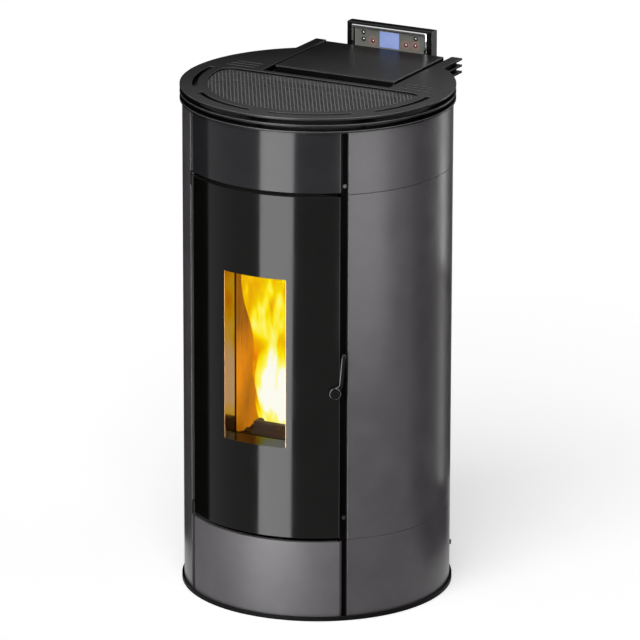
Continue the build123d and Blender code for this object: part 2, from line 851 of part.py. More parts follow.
def make_firebox_liner():
    """Ribbed back and side slabs that line the fire chamber."""
    inside = firebox_half_width - firebox_sheet - seat_gap
    face = inside - liner_thickness
    back = firebox_back - firebox_sheet - seat_gap
    rear_face = back - liner_thickness
    height = (shelf_height, liner_top)
    rear = block((-inside, inside), (rear_face, back), height)
    side = block((face, inside), (liner_front + gasket_thickness - door_back, rear_face - seat_gap), height)
    rib = liner_rib_half_width
    for step in range(6):
        y = rear_face - liner_side_pitch * (step + 0.7)
        side += block((face - liner_rib, face), (y - rib, y + rib), height)
    for step in (-3, -2, -1, 1, 2, 3):
        x = liner_rear_pitch * step
        rear += block((x - rib, x + rib), (rear_face - liner_rib, rear_face), height)
    rear -= rod(chute_start(), chute_end, chute_radius + seat_gap)
    return both_sides(side) + (rear - igniter_way(igniter_radius + seat_gap))


def make_flame_baffle():
    """Loose slab that rests on the liner and turns the flame forwards."""
    inside = firebox_half_width - firebox_sheet - seat_gap
    front = baffle_front + gasket_thickness - door_back
    back = firebox_back - firebox_sheet - seat_gap
    slab = block((-inside, inside), (front, back), (liner_top, liner_top + baffle_thickness))
    notch_z = (liner_top - cut_past, liner_top + baffle_thickness + cut_past)
    return slab - both_sides(block(baffle_notch, (back - baffle_notch_depth, back + cut_past), notch_z))


def pot_spot():
    """Centre of the burn pot's rim."""
    return Pos(0, pot_centre_y, pot_rim_height)


def make_burn_pot():
    """Cast pot with tapering sides, a lip, side air holes and a grate let in at the bottom."""
    half = pot_half_width
    lip = half + pot_lip
    foot = half - 2 * pot_wall
    cup = Pos(0, 0, -pot_depth / 2) * Box(2 * half, 2 * half, pot_depth)
    cup += Pos(0, 0, -pot_lip / 2) * Box(2 * lip, 2 * lip, pot_lip)
    mouth = Rectangle(2 * (half - pot_wall), 2 * (half - pot_wall))
    cup -= loft([mouth, Pos(0, 0, pot_wall - pot_depth) * Rectangle(2 * foot, 2 * foot)], ruled=True)
    cup -= Box(2 * foot, 2 * foot, 4 * pot_depth)
    for x in (-half, half):
        side_holes = Pos(x, 0, -pot_side_drop) * GridLocations(0, pot_side_pitch, 1, 4)
        cup -= [place * Box(4 * pot_wall, pot_hole, pot_hole) for place in side_holes]
    grate = Pos(0, 0, pot_wall / 2 - pot_depth) * Box(2 * foot, 2 * foot, pot_wall)
    holes = GridLocations(pot_hole_pitch, pot_hole_pitch, 5, 5)
    grate -= [place * Box(pot_hole, pot_hole, 4 * pot_depth) for place in holes]
    return welded(pot_spot() * cup - igniter_way(igniter_radius + hole_gap), pot_spot() * grate)


def make_burn_pot_cradle():
    """Stepped cast frame that stands on the shelf and carries the pot by its lip."""
    half = pot_half_width + seat_gap
    top = pot_rim_height - pot_lip
    middle = (shelf_height + top) / 2
    upper = half + cradle_upper_wall
    lower = half + cradle_lower_wall
    frame = block((-upper, upper), (-upper, upper), (middle, top))
    frame += block((-lower, lower), (-lower, half + cradle_back_wall), (shelf_height, middle))
    frame -= block((-half, half), (-half, half), (0, far))
    return Pos(0, pot_centre_y, 0) * frame - igniter_way(igniter_radius + hole_gap)


def make_ash_pan():
    """Open pan under the shelf with a folded grip at the front."""
    half = mouth_half_width - ash_pan_side_gap
    low = firebox_bottom + firebox_sheet + seat_gap
    top = low + ash_pan_height
    front = ash_pan_front + gasket_thickness - door_back
    wall = ash_pan_sheet
    pan = block((-half, half), (front, ash_pan_back), (low, top))
    inside_y = (front + wall, ash_pan_back - wall)
    pan -= block((wall - half, half - wall), inside_y, (low + wall, top + cut_past))
    grip_z = (top - ash_grip_drop, top - ash_grip_drop + frame_sheet)
    return pan + block((-ash_grip_half_width, ash_grip_half_width), (front - ash_grip_reach, front), grip_z)


def make_igniter():
    """Ceramic rod with its metal collar behind the partition."""
    level = igniter_height()
    seat = partition_y + frame_sheet + seat_gap
    tip = pot_centre_y + pot_half_width - pot_wall + igniter_tip_reach
    stick = rod((0, tip, level), (0, seat, level), igniter_radius)
    stick += rod((0, seat, level), (0, seat + igniter_collar_thickness, level), igniter_collar_radius)
    return stick + rod((0, seat, level), (0, seat + igniter_tail, level), igniter_tail_radius)


# ---- Feed side ----

def feed_tube_top(y):
    """Height of the feed tube's upper side above a given Y."""
    run = auger_low[1] - auger_high[1]
    rise = auger_high[2] - auger_low[2]
    return auger_low[2] + (auger_low[1] - y) * rise / run + auger_tube_radius * hypot(run, rise) / run


def throat_height():
    """Height of the joint between the hopper and the feed tube's spout."""
    return feed_tube_top(throat_front) + throat_rise


def throat_opening(shrink, low, high):
    """Block in the throat, drawn in by a wall's thickness."""
    half = throat_half_width - shrink
    return block((-half, half), (throat_front + shrink, throat_back - shrink), (low, high))


def hopper_top():
    """Height of the hopper's rim under the lid."""
    return overall_height + lid_rise - lid_sheet - hopper_lid_gap


def tapered_block(low, high, z):
    """Block with flat faces from one rectangle to another; each rectangle has its X and Y spans."""
    profiles = []
    for bottom, top in zip(low, high):
        corners = [(bottom[0], z[0]), (bottom[1], z[0]), (top[1], z[1]), (top[0], z[1])]
        profiles.append(make_face(Polyline(*corners, close=True)))
    across = extrude(Plane.XZ * profiles[0], far, both=True)
    return across & extrude(Plane.YZ * profiles[1], far, both=True)


def sheet_tube(low, high, z):
    """Four flat sheets of a rectangular tube that may taper; its sizes are half width, front and back."""
    ends = []
    for half, front, back in (low, high):
        side_y = (front + sheet, back - sheet)
        whole = (-half, half)
        ends.append([(whole, (front, side_y[0])), (whole, (side_y[1], back)), ((half - sheet, half), side_y)])
    front, back, side = [tapered_block(bottom, top, z) for bottom, top in zip(*ends)]
    return welded(front, back, both_sides(side))


def make_hopper():
    """Welded sheet hopper: top flange, straight part and a funnel down to the auger's throat."""
    throat = (throat_half_width, throat_front, throat_back)
    mouth = (hopper_half_width, hopper_front, hopper_back)
    funnel = sheet_tube(throat, mouth, (throat_height(), hopper_straight_bottom))
    straight = sheet_tube(mouth, mouth, (hopper_straight_bottom, hopper_top()))
    wide = opening_half_width + hopper_flange_side
    flange_z = (middle_plate_z - seat_gap - frame_sheet, middle_plate_z - seat_gap)
    front = block((-wide, wide), (opening_front - hopper_flange_end, hopper_front), flange_z)
    back = block((-wide, wide), (hopper_back, lid_axis_y + hopper_flange_end), flange_z)
    sides = both_sides(block((hopper_half_width, wide), (hopper_front, hopper_back), flange_z))
    return welded(funnel, straight, front, back, sides)


def make_auger_tube():
    """Inclined feed tube with its inlet spout, chute opening and motor flange."""
    low, high = Vector(*auger_low), Vector(*auger_high)
    plate = feed_direction() * auger_end_plate
    spout_low = auger_low[2] + spout_rise
    body = rod(auger_low, auger_high, auger_tube_radius)
    body += throat_opening(0, spout_low, throat_height())
    body -= throat_opening(sheet, spout_low - 4 * auger_tube_wall, throat_height() + cut_past)
    body += rod(auger_low, tuple(low - plate), auger_tube_radius + auger_tube_flange)
    body += rod(auger_high, tuple(high + plate), auger_tube_radius)
    body -= rod(auger_low, auger_high, auger_tube_radius - auger_tube_wall)
    body -= rod(tuple(low - 2 * plate), tuple(high + 2 * plate), auger_core + running_gap)
    return body - rod(chute_start(), chute_end, chute_radius - chute_wall)


def auger_plane():
    """Plane across the auger at its lower end, with its normal up the auger."""
    return Plane(origin=auger_low, x_dir=(1, 0, 0), z_dir=Vector(*auger_high) - Vector(*auger_low))


def make_auger_screw():
    """Core shaft with one helical flight; its lower end enters the gearmotor."""
    length = (Vector(*auger_high) - Vector(*auger_low)).length
    flight_length = length - auger_flight_margin
    core = rod((0, 0, -auger_shaft_reach), (0, 0, length + auger_end_plate), auger_core)
    inner_edge = Helix(auger_pitch, flight_length, auger_core - cut_past)
    outer_edge = Helix(auger_pitch, flight_length, auger_radius)
    flight_face = Face.make_surface_from_curves(inner_edge.edge(), outer_edge.edge())
    flight = Pos(0, 0, auger_flight_start) * extrude(flight_face, auger_flight, dir=(0, 0, 1))
    return auger_plane() * (core + flight)


def make_auger_gearmotor():
    """Gearbox with its output bore and a smaller motor can behind it."""
    gear_end = -auger_end_plate - gearbox_length
    gearbox = rod((0, 0, gear_end), (0, 0, -auger_end_plate), gearbox_radius)
    gearbox -= rod((0, 0, -auger_shaft_reach - auger_shaft_room), (0, 0, 0), auger_core + running_gap)
    can = rod((0, 0, -gearmotor_length), (0, 0, gear_end), gearmotor_can_radius)
    rib = block(
        (gearmotor_can_radius - cut_past, gearmotor_can_radius + can_rib_height),
        (-can_rib_half_width, can_rib_half_width),
        (can_rib_margin - gearmotor_length, gear_end - can_rib_margin),
    )
    can += PolarLocations(0, can_ribs) * rib
    return auger_plane() * (gearbox + can)


def make_pellet_chute():
    """Sloping tube from the auger's outlet into the fire chamber."""
    chute = tube(chute_start(), chute_end, chute_radius, chute_radius - chute_wall)
    return chute - rod(auger_low, auger_high, auger_tube_radius + running_gap)


# ---- Fans and pipes ----

def sideways(centre, x):
    """Plane across a fan's axis at a given X, with its normal towards +X."""
    return Plane(origin=(x, centre[1], centre[2]), x_dir=(0, 1, 0), z_dir=(1, 0, 0))


def drum(centre, x, radius):
    """Disc or drum about a fan's axis between two X values."""
    disc = Cylinder(radius, x[1] - x[0], align=(Align.CENTER, Align.CENTER, Align.MIN))
    return sideways(centre, x[0]) * disc


def make_exhaust_fan_housing():
    """Cast scroll with its smoke inlet box, outlet socket and foot."""
    x, y, z = exhaust_centre
    wall = exhaust_wall
    outer = (x - exhaust_half_width, x + exhaust_half_width)
    inner = (outer[0] + wall, outer[1] - wall)
    duct_start = firebox_back + seat_gap
    duct_end = y + smoke_duct_past
    duct_half = smoke_duct_half_height
    outlet_radius = flue_radius - flue_wall - running_gap
    outlet_end = rear_depth - flue_inner_length + flue_lap
    body = drum(exhaust_centre, outer, exhaust_scroll)
    body += rod((x, y, flue_height()), (x, outlet_end, flue_height()), outlet_radius)
    duct_z = (z - duct_half, z + duct_half)
    body += block((outer[0] - smoke_duct_width, outer[0]), (duct_start, duct_end), duct_z)
    body += block(
        (x - exhaust_foot_half_width, x + exhaust_foot_half_width),
        (y - exhaust_foot_half_depth, y + exhaust_foot_half_depth),
        (base_sheet, z - exhaust_scroll + 2 * wall),
    )
    body -= drum(exhaust_centre, inner, exhaust_scroll - wall)
    body -= rod((x, y, flue_height()), (x, outlet_end + cut_past, flue_height()), outlet_radius - wall)
    half = duct_half - smoke_duct_wall
    duct_x = (outer[0] - smoke_duct_width + smoke_duct_wall, outer[0])
    body -= block(duct_x, (duct_start - cut_past, duct_end - smoke_duct_wall), (z - half, z + half))
    body -= drum(exhaust_centre, (outer[0] - cut_past, inner[0] + cut_past), exhaust_eye)
    return body - drum(exhaust_centre, (inner[1] - cut_past, outer[1] + cut_past), exhaust_shaft_hole)


def make_exhaust_impeller():
    """Radial blades on a back disc, with the hub and the shaft that enters the motor."""
    disc_x = exhaust_centre[0] + impeller_disc_offset
    half = impeller_disc / 2
    wheel = drum(exhaust_centre, (disc_x, disc_x + impeller_disc), exhaust_impeller_radius)
    blade = block((exhaust_blade_root, exhaust_impeller_radius), (-half, half), (-exhaust_blade_depth, 0))
    wheel += sideways(exhaust_centre, disc_x) * PolarLocations(0, exhaust_blades) * blade
    wheel += drum(exhaust_centre, (disc_x - exhaust_hub_front, disc_x + exhaust_hub_back), exhaust_hub_radius)
    shaft_end = exhaust_centre[0] + exhaust_half_width + motor_shaft_reach
    return wheel + drum(exhaust_centre, (disc_x, shaft_end), motor_shaft_radius)


def make_exhaust_fan_motor():
    """Motor can on the scroll's side wall, with its shaft bore and cooling ribs."""
    start = exhaust_centre[0] + exhaust_half_width
    motor = drum(exhaust_centre, (start, exhaust_motor_end), exhaust_motor_radius)
    motor += drum(exhaust_centre, (start, start + exhaust_motor_flange_thickness), exhaust_motor_flange)
    for step in range(motor_ribs):
        rib = start + motor_rib_pitch * (step + 1)
        motor += drum(exhaust_centre, (rib, rib + motor_rib_height), exhaust_motor_radius + motor_rib_height)
    bore = (start - cut_past, start + motor_bore_depth)
    return motor - drum(exhaust_centre, bore, motor_shaft_radius + running_gap)


def make_flue_outlet():
    """Flue spigot that slips over the exhaust scroll's outlet."""
    x, level = exhaust_centre[0], flue_height()
    start = rear_depth - flue_inner_length
    pipe = rod((x, start, level), (x, flue_end, level), flue_radius)
    pipe += rod((x, rear_depth, level), (x, rear_depth + frame_sheet, level), flue_radius + flue_collar)
    return pipe - rod((x, start - cut_past, level), (x, flue_end + cut_past, level), flue_radius - flue_wall)


def make_room_fan_housing():
    """Double-inlet scroll with its outlet duct, motor spider, axle and feet."""
    x, y, z = room_fan_centre
    outer = (x - room_fan_half_width, x + room_fan_half_width)
    inner = (outer[0] + fan_wall, outer[1] - fan_wall)
    duct_front = partition_y + frame_sheet + seat_gap
    duct_top = z + room_fan_scroll
    duct_low = duct_top - room_fan_duct_height
    body = drum(room_fan_centre, outer, room_fan_scroll)
    body += block(outer, (duct_front, y), (duct_low, duct_top))
    foot_y = (y - room_fan_foot_half_depth, y + room_fan_foot_half_depth)
    for foot_x in (outer[0] + room_fan_foot_inset, outer[1] - room_fan_foot_inset - room_fan_foot):
        foot_z = (base_sheet, z - room_fan_scroll + room_fan_foot_inset)
        body += block((foot_x, foot_x + room_fan_foot), foot_y, foot_z)
    body -= drum(room_fan_centre, inner, room_fan_scroll - fan_wall)
    body -= block(inner, (duct_front - cut_past, y), (duct_low + fan_wall, duct_top - fan_wall))
    body -= drum(room_fan_centre, (outer[0] - cut_past, outer[1] + cut_past), room_fan_eye)
    arm, reach = spider_half_width, room_fan_eye + fan_wall
    for half_y, half_z in ((arm, reach), (reach, arm)):
        body += block((outer[0], inner[0]), (y - half_y, y + half_y), (z - half_z, z + half_z))
    return body + drum(room_fan_centre, (outer[0], outer[1] - room_fan_axle_inset), room_fan_axle_radius)


def make_room_fan_impeller():
    """Drum of forward-bent blades round the outer-rotor motor's hub."""
    x = room_fan_centre[0]
    low, high = x - room_wheel_half_width, x + room_wheel_half_width
    plate = impeller_disc
    wheel = drum(room_fan_centre, (x - plate, x), room_fan_radius)
    wheel += drum(room_fan_centre, (low + room_hub_insets[0], high - room_hub_insets[1]), room_hub_radius)
    root, tip = room_fan_radius - room_blade_depth, room_fan_radius - cut_past
    for start in (low, high - plate):
        ring = drum(room_fan_centre, (start, start + plate), room_fan_radius)
        wheel += ring - drum(room_fan_centre, (start - cut_past, start + plate + cut_past), root)
    bend = (root + room_blade_depth / 2, room_blade_sheet / 2)
    front = [(root, 0), bend, (tip, room_blade_depth / 2)]
    rear = [(px, py + room_blade_sheet) for px, py in reversed(front)]
    blade = extrude(make_face(Polyline(*front, *rear, close=True)), high - low)
    wheel += sideways(room_fan_centre, low) * PolarLocations(0, room_fan_blades) * blade
    return wheel - drum(room_fan_centre, (x - far, x + far), room_fan_axle_radius + running_gap)


def make_air_intake_pipe():
    """Combustion air pipe from the rear casing to the firebox."""
    x, level = intake_x, intake_height
    start = firebox_back - firebox_sheet
    pipe = rod((x, start, level), (x, intake_end, level), intake_radius)
    pipe += rod((x, rear_depth, level), (x, rear_depth + frame_sheet, level), intake_radius + intake_collar)
    bore = rod((x, start - cut_past, level), (x, intake_end + cut_past, level), intake_radius - intake_wall)
    return pipe - bore


# ---- Door ----

def window_half_width():
    """Half the width of the window opening in the door's skin."""
    return body_radius * sin(radians(window_half_angle))


def door_slice(radius, low, high):
    """Part of a disc that the flat-backed door fills in plan."""
    disc = Pos(0, 0, low) * Cylinder(radius, high - low, align=(Align.CENTER, Align.CENTER, Align.MIN))
    return disc & block((-far, far), (-far, -door_back), (low, high))


def hinge_knuckle(low, high):
    """Bored knuckle of the door with the bar that joins it to the door's back."""
    x, y = around(door_axis_radius, -door_axis_angle)
    inside = knuckle_lap - sqrt((body_radius - door_sheet) ** 2 - door_back**2)
    knuckle = rod((x, y, low), (x, y, high), door_knuckle_radius)
    knuckle += block((x, inside), (y - knuckle_bar_front, y - knuckle_bar_back), (low, high))
    knuckle += block((inside - knuckle_bar_width, inside), (-door_back, y - knuckle_bar_back), (low, high))
    return knuckle - rod((x, y, low - cut_past), (x, y, high + cut_past), door_pin_radius + running_gap)


def spindle_cut(radius):
    """Hole for the handle's spindle, square to the door's face."""
    outside = around(body_radius + cut_past, handle_angle)
    inside = around(body_radius - 2 * keeper_setback, handle_angle)
    return rod((*inside, handle_height), (*outside, handle_height), radius)


def make_door_frame():
    """Flat back, closing plates and ribs of the door, with both hinge knuckles."""
    window = window_half_width()
    frame = door_slice(body_radius - door_sheet, door_bottom, door_top)
    front = (-far, -door_back - door_back_sheet)
    hollow = block((-far, far), front, (door_bottom + frame_sheet, door_top - frame_sheet))
    rib_low = window_bottom - glass_margin - rib_gap - frame_sheet
    rib_high = window_top + glass_margin + rib_gap
    for level in (rib_low, rib_high):
        hollow -= block((-far, far), (-far, 0), (level, level + frame_sheet))
    frame -= hollow
    frame -= block((-window, window), (-far, 0), (window_bottom, window_top))
    frame += hinge_knuckle(door_top - door_knuckle_height, door_top)
    frame += hinge_knuckle(door_bottom, door_bottom + door_knuckle_height)
    return frame - spindle_cut(spindle_radius + seat_gap)


def make_door_front():
    """Curved outer skin with the deep surround of the window."""
    inner = body_radius - door_sheet
    window = window_half_width()
    skin = sector(inner, body_radius, -door_half_angle, door_half_angle, door_bottom, door_top)
    glass_face = -door_back - door_back_sheet - glass_thickness - seat_gap
    surround = block(
        (-window - tunnel_sheet, window + tunnel_sheet),
        (-far, glass_face),
        (window_bottom - tunnel_sheet, window_top + tunnel_sheet),
    )
    surround &= Pos(0, 0, overall_height / 2) * Cylinder(inner + skin_lap, overall_height)
    skin += surround
    skin -= block((-window, window), (-far, glass_face + cut_past), (window_bottom, window_top))
    return skin - spindle_cut(spindle_radius + running_gap)


def make_door_glass():
    """Flat heat-proof pane behind the window surround."""
    half = window_half_width() + glass_margin
    back = -door_back - door_back_sheet
    low, high = window_bottom - glass_margin, window_top + glass_margin
    return block((-half, half), (back - glass_thickness, back), (low, high))


def make_door_gasket():
    """Rope seal on the door's back that meets the firebox flange."""
    inner = mouth_half_width + gasket_inset
    outer = inner + gasket_width
    low = firebox_bottom + firebox_sheet - gasket_inset
    high = mouth_top + gasket_inset
    depth = (-door_back, -door_back + gasket_thickness)
    ring = block((-outer, outer), depth, (low - gasket_width, high + gasket_width))
    ring = fillet(ring.edges().filter_by(Axis.Y), gasket_width)
    return ring - block((-inner, inner), (-far, 0), (low, high))


def make_door_hinges():
    """Upper and lower hinge brackets on the left post, each with its pin."""
    x, y = around(door_axis_radius, -door_axis_angle)
    arm_angles = (-door_axis_angle - hinge_arm_half_angle, hinge_arm_half_angle - door_axis_angle)
    tab_angles = (-door_axis_angle - hinge_tab_half_angle, hinge_tab_half_angle - door_axis_angle)
    brackets = []
    for door_end, way in ((door_top, 1), (door_bottom, -1)):
        near = door_end + way * hinge_gap
        low, high = sorted((near, near + way * hinge_arm))
        tab = sorted((near, near + way * hinge_tab_height))
        arm = rod((x, y, low), (x, y, high), door_knuckle_radius)
        arm += sector(post_radius + hinge_tab / 2, door_axis_radius, *arm_angles, low, high)
        arm += sector(post_radius, post_radius + hinge_tab, *tab_angles, *tab)
        arm += rod((x, y, near), (x, y, near - way * door_knuckle_height), door_pin_radius)
        brackets.append(arm)
    return Part() + brackets


def handle_plane():
    """Plane on the door's face at the handle: X sideways, Y up, normal outwards."""
    x, y = around(body_radius, handle_angle)
    out = around(1, handle_angle)
    sideways_x = (-out[1], out[0], 0)
    return Plane(origin=(x, y, handle_height), x_dir=sideways_x, z_dir=(*out, 0))


def lever_link(start, end, start_radius, end_radius):
    """Flat bar with round ends between two points of the handle's plane."""
    circles = Pos(*start) * Circle(start_radius) + Pos(*end) * Circle(end_radius)
    return extrude(make_hull(circles.edges()), lever_thickness)


def make_door_handle():
    """Turning handle: hub, cranked lever with a bent tip, spindle and latch nose."""
    outward = (Align.CENTER, Align.CENTER, Align.MIN)
    hub = Pos(0, 0, seat_gap) * Cylinder(hub_radius, hub_depth, align=outward)
    hub = chamfer(hub.edges().group_by(Axis.Z)[-1], hub_chamfer)
    lever = lever_link((0, 0), lever_elbow, 2 * lever_half_width, lever_half_width)
    lever += lever_link(lever_elbow, lever_tip, lever_half_width, lever_half_width)
    tip = Cylinder(lever_half_width + tip_margin, lever_thickness + tip_rise, align=outward)
    tip = fillet(tip.edges().group_by(Axis.Z)[-1], tip_round)
    lever += Pos(*lever_tip) * tip
    inward = keeper_radius - body_radius
    spindle = rod((0, 0, inward - nose_half_depth), (0, 0, hub_depth / 2), spindle_radius)
    nose_z = (inward - nose_half_depth, inward + nose_half_depth)
    nose = block((-spindle_radius, far), (-nose_half_height, nose_half_height), nose_z)
    nose &= Pos(0, 0, inward) * Cylinder(nose_length(), 4 * nose_half_depth)
    return handle_plane() * (hub + Pos(0, 0, lever_lift) * lever + spindle + nose)


def nose_length():
    """Reach of the latch nose from the spindle's axis to just short of the roller."""
    offset = radians(keeper_angle - handle_angle)
    return keeper_radius * sin(offset) - roller_radius - seat_gap


def make_latch_keeper():
    """Roller catch in the right post, beside the latch nose."""
    last = side_start_angle - degrees((seat_gap + frame_sheet) / post_radius) - keeper_side_angle
    half = roller_height / 2
    low, high = handle_height - half - keeper_end, handle_height + half + keeper_end
    inner, outer = keeper_radius - keeper_depth, post_radius - frame_sheet - keeper_front_gap
    keeper = sector(inner, outer, keeper_angle - keeper_half_angle, last, low, high)
    gap_z = (handle_height - half, handle_height + half)
    keeper -= sector(inner - hub_depth, outer + hub_depth, 0, last - keeper_wall_angle, *gap_z)
    spot = around(keeper_radius, keeper_angle)
    return keeper + rod((*spot, low + cut_past), (*spot, high - cut_past), roller_radius)


# ---- Hopper lid ----

def lid_axis_z():
    """Height of the lid's hinge axis."""
    return overall_height - lid_axis_drop


def lid_bar(x, radius):
    """Round bar along the lid's hinge axis between two X values."""
    return rod((x[0], lid_axis_y, lid_axis_z()), (x[1], lid_axis_y, lid_axis_z()), radius)


def lid_ear(x):
    """Hinge ear with its web inside the lid's tray."""
    low, high = lid_axis_z() - lid_ear_half_height, lid_axis_z() + 2 * lid_ear_half_height
    under = overall_height + lid_rise - lid_sheet + skin_lap
    ear = lid_bar(x, lid_knuckle_radius)
    ear += block(x, (lid_back - lid_ear_root, lid_back), (low, under))
    return ear + block(x, (lid_back - cut_past, lid_axis_y), (low, high))


def make_hopper_lid():
    """Folded tray lid with two hinge ears at its back."""
    top = overall_height + lid_rise
    low = top - lid_skirt
    half = lid_half_width
    lid = block((-half, half), (lid_front, lid_back), (low, top))
    lid = fillet(lid.edges().filter_by(Axis.Z).group_by(Axis.Y)[0], lid_corner)
    inside = half - lid_sheet
    lid -= block((-inside, inside), (lid_front + lid_sheet, far), (low - cut_past, top - lid_sheet))
    lid = fillet(lid.edges().filter_by(Axis.X).group_by(Axis.Z)[-1].sort_by(Axis.Y)[0], lid_edge)
    for x in (-lid_hinge_x, lid_hinge_x - lid_ear_width):
        lid += lid_ear((x, x + lid_ear_width))
    return lid - lid_bar((-half, half), lid_pin_radius + running_gap)


def make_lid_hinge():
    """Two fixed hinge brackets on the hopper flange, each with its pin."""
    flange_top = middle_plate_z - seat_gap
    reach = (lid_axis_y - lid_bracket_half_depth, lid_axis_y + lid_bracket_half_depth)
    outside = lid_hinge_x - lid_ear_width - seat_gap
    inside = outside - lid_knuckle_width
    bracket = lid_bar((inside, outside), lid_knuckle_radius)
    bracket += block((inside, outside), reach, (flange_top, lid_axis_z()))
    return both_sides(bracket + lid_bar((inside, lid_hinge_x), lid_pin_radius))


# ---- Display ----

def on_display(x, rise, front, depth, radius):
    """Round bar square to the display's face at a place on it."""
    level = overall_height + rise
    return rod((x, front, level), (x, front + depth, level), radius)


def make_display_housing():
    """Black display case with the keypad plate set in its face."""
    top = overall_height + display_rise
    back = display_front + display_depth
    case = block((-display_half_width, display_half_width), (display_front, back), (display_bottom, top))
    case = fillet(case.edges().filter_by(Axis.X).group_by(Axis.Z)[-1], case_round)
    screen_z = (overall_height - screen_drop, overall_height + screen_rise)
    case -= block((-screen_half_width, screen_half_width), (0, display_front + screen_depth), screen_z)
    pocket = (display_front - cut_past, button_pocket + cut_past, button_radius + running_gap)
    for x, rise in button_places:
        case -= on_display(x, rise, *pocket)
    return case


def make_display_bezel():
    """Bright frame that stands proud round the keypad and the screen."""
    low, high = overall_height - bezel_drop, overall_height + bezel_rise
    depth = (display_front - bezel_proud, display_front)
    frame = block((-bezel_half_width, bezel_half_width), depth, (low, high))
    frame = fillet(frame.edges().filter_by(Axis.Y), bezel_corner)
    inner = bezel_half_width - bezel_width
    frame -= block((-inner, inner), (0, far), (low + bezel_width, high - bezel_width))
    return chamfer(frame.edges().filter_by(Axis.X).group_by(Axis.Y)[0].group_by(Axis.Z)[-1], bezel_chamfer)


def make_display_screen():
    """Screen pane let into the display's face."""
    x = screen_half_width - screen_gap
    low, high = overall_height - screen_drop + screen_gap, overall_height + screen_rise - screen_gap
    return block((-x, x), (display_front - screen_proud, display_front + screen_depth), (low, high))


def make_button(x, rise):
    """Round push button that runs in a bore of the display's face."""
    return on_display(x, rise, display_front - button_proud, button_length, button_radius)


def make_display_guide():
    """Upright channel behind the rear casing in which the display slides down."""
    half = display_half_width + guide_gap
    back = display_front + display_depth + guide_gap
    low = display_bottom - display_travel - guide_floor_gap
    wall = guide_wall
    guide = block((-half - wall, half + wall), (rear_depth, back + wall), (low - wall, guide_top))
    guide -= block((-half, half), (rear_depth - cut_past, back), (low, guide_top + cut_past))
    lip_back = display_front - guide_gap
    lip_x = (bezel_half_width + guide_lip_gap, half + wall / 2)
    return guide + both_sides(block(lip_x, (lip_back - guide_lip, lip_back), (low, guide_top)))


# ---- Electrics and screws ----

def make_power_inlet():
    """Mains inlet with its three pins and the opening for the rocker switch."""
    w, h = inlet_half_width, inlet_half_height
    edge = inlet_face_margin
    body = block((-w, w), (-inlet_depth, 0), (-h, h))
    body += block((-w - edge, w + edge), (0, inlet_face), (-h - edge, h + edge))
    socket_z = (-socket_drop - socket_half_height, socket_half_height - socket_drop)
    body -= block((-socket_half_width, socket_half_width), (-socket_depth, far), socket_z)
    for x, rise in socket_pins:
        z = rise - socket_drop
        pin_y = (-socket_depth - cut_past, pin_reach - socket_depth)
        pin_z = (z - pin_half_height, z + pin_half_height)
        body += block((x - pin_half_width, x + pin_half_width), pin_y, pin_z)
    well = rocker_well_half
    body -= block((-well, well), (-rocker_well_depth, far), (rocker_rise - well, rocker_rise + well))
    pivot = (-rocker_pivot_depth, rocker_rise)
    half = rocker_pocket_half_length
    body -= rod((-half, *pivot), (half, *pivot), rocker_pin_radius + running_gap)
    return Pos(inlet_x, rear_depth, inlet_height) * body


def switch_pivot():
    """Pivot of the rocker switch."""
    return inlet_x, rear_depth - rocker_pivot_depth, inlet_height + rocker_rise


def make_power_switch():
    """Rocker with its two stub pivots, resting on its lower half."""
    w, h = rocker_half_width, rocker_half_height
    rocker = block((-w, w), (-rocker_back, rocker_front), (-h, h))
    rocker -= Pos(0, rocker_hollow_offset, 0) * Cylinder(rocker_hollow_radius, 4 * w, rotation=(0, 90, 0))
    rocker += rod((-rocker_pin_half_length, 0, 0), (rocker_pin_half_length, 0, 0), rocker_pin_radius)
    return Pos(*switch_pivot()) * Rot(switch_tilt, 0, 0) * rocker


def board_part(size, corner):
    """Block of a given width, depth and height standing on the board at a corner."""
    x, z = board_x[0] + corner[0], board_z[0] + corner[1]
    top = partition_y + frame_sheet + board_stand + board_sheet
    return block((x, x + size[0]), (top, top + size[1]), (z, z + size[2]))


def make_control_board():
    """Circuit board on stand-offs with its transformer, relays, fuses and connectors."""
    back = partition_y + frame_sheet
    face = back + board_stand
    board = block(board_x, (face, face + board_sheet), board_z)
    board += board_part(transformer_size, transformer_corner)
    board += board_part(connector_size, connector_corner)
    for step in range(relays):
        board += board_part(relay_size, (relay_corner[0], relay_corner[1] + relay_pitch * step))
    for step in range(fuses):
        board += board_part(fuse_size, (fuse_corner[0] + fuse_pitch * step, fuse_corner[1]))
    half = board_stand_half
    for x in (board_x[0] + board_stand_inset, board_x[1] - board_stand_inset):
        for z in (board_z[0] + board_stand_inset, board_z[1] - board_stand_inset):
            board += block((x - half, x + half), (back, face), (z - half, z + half))
    return board


def make_screw(seat, out):
    """Pan-head screw with its head on a seat and its shank going in."""
    seat, out = Vector(*seat), Vector(*out)
    head = rod(tuple(seat), tuple(seat + out * screw_head_height), screw_head_radius)
    return head + rod(tuple(seat - out * (screw_length - screw_head_height)), tuple(seat), screw_radius)


def make_cover_screws():
    """Screws in the front posts and along the rear casing."""
    screws = []
    for height in screw_heights:
        for side in (-1, 1):
            spot = around(post_radius, side * screw_angle)
            out = around(1, side * screw_angle)
            screws.append(make_screw((*spot, height), (*out, 0)))
    return Part() + screws


# ---- Output ----

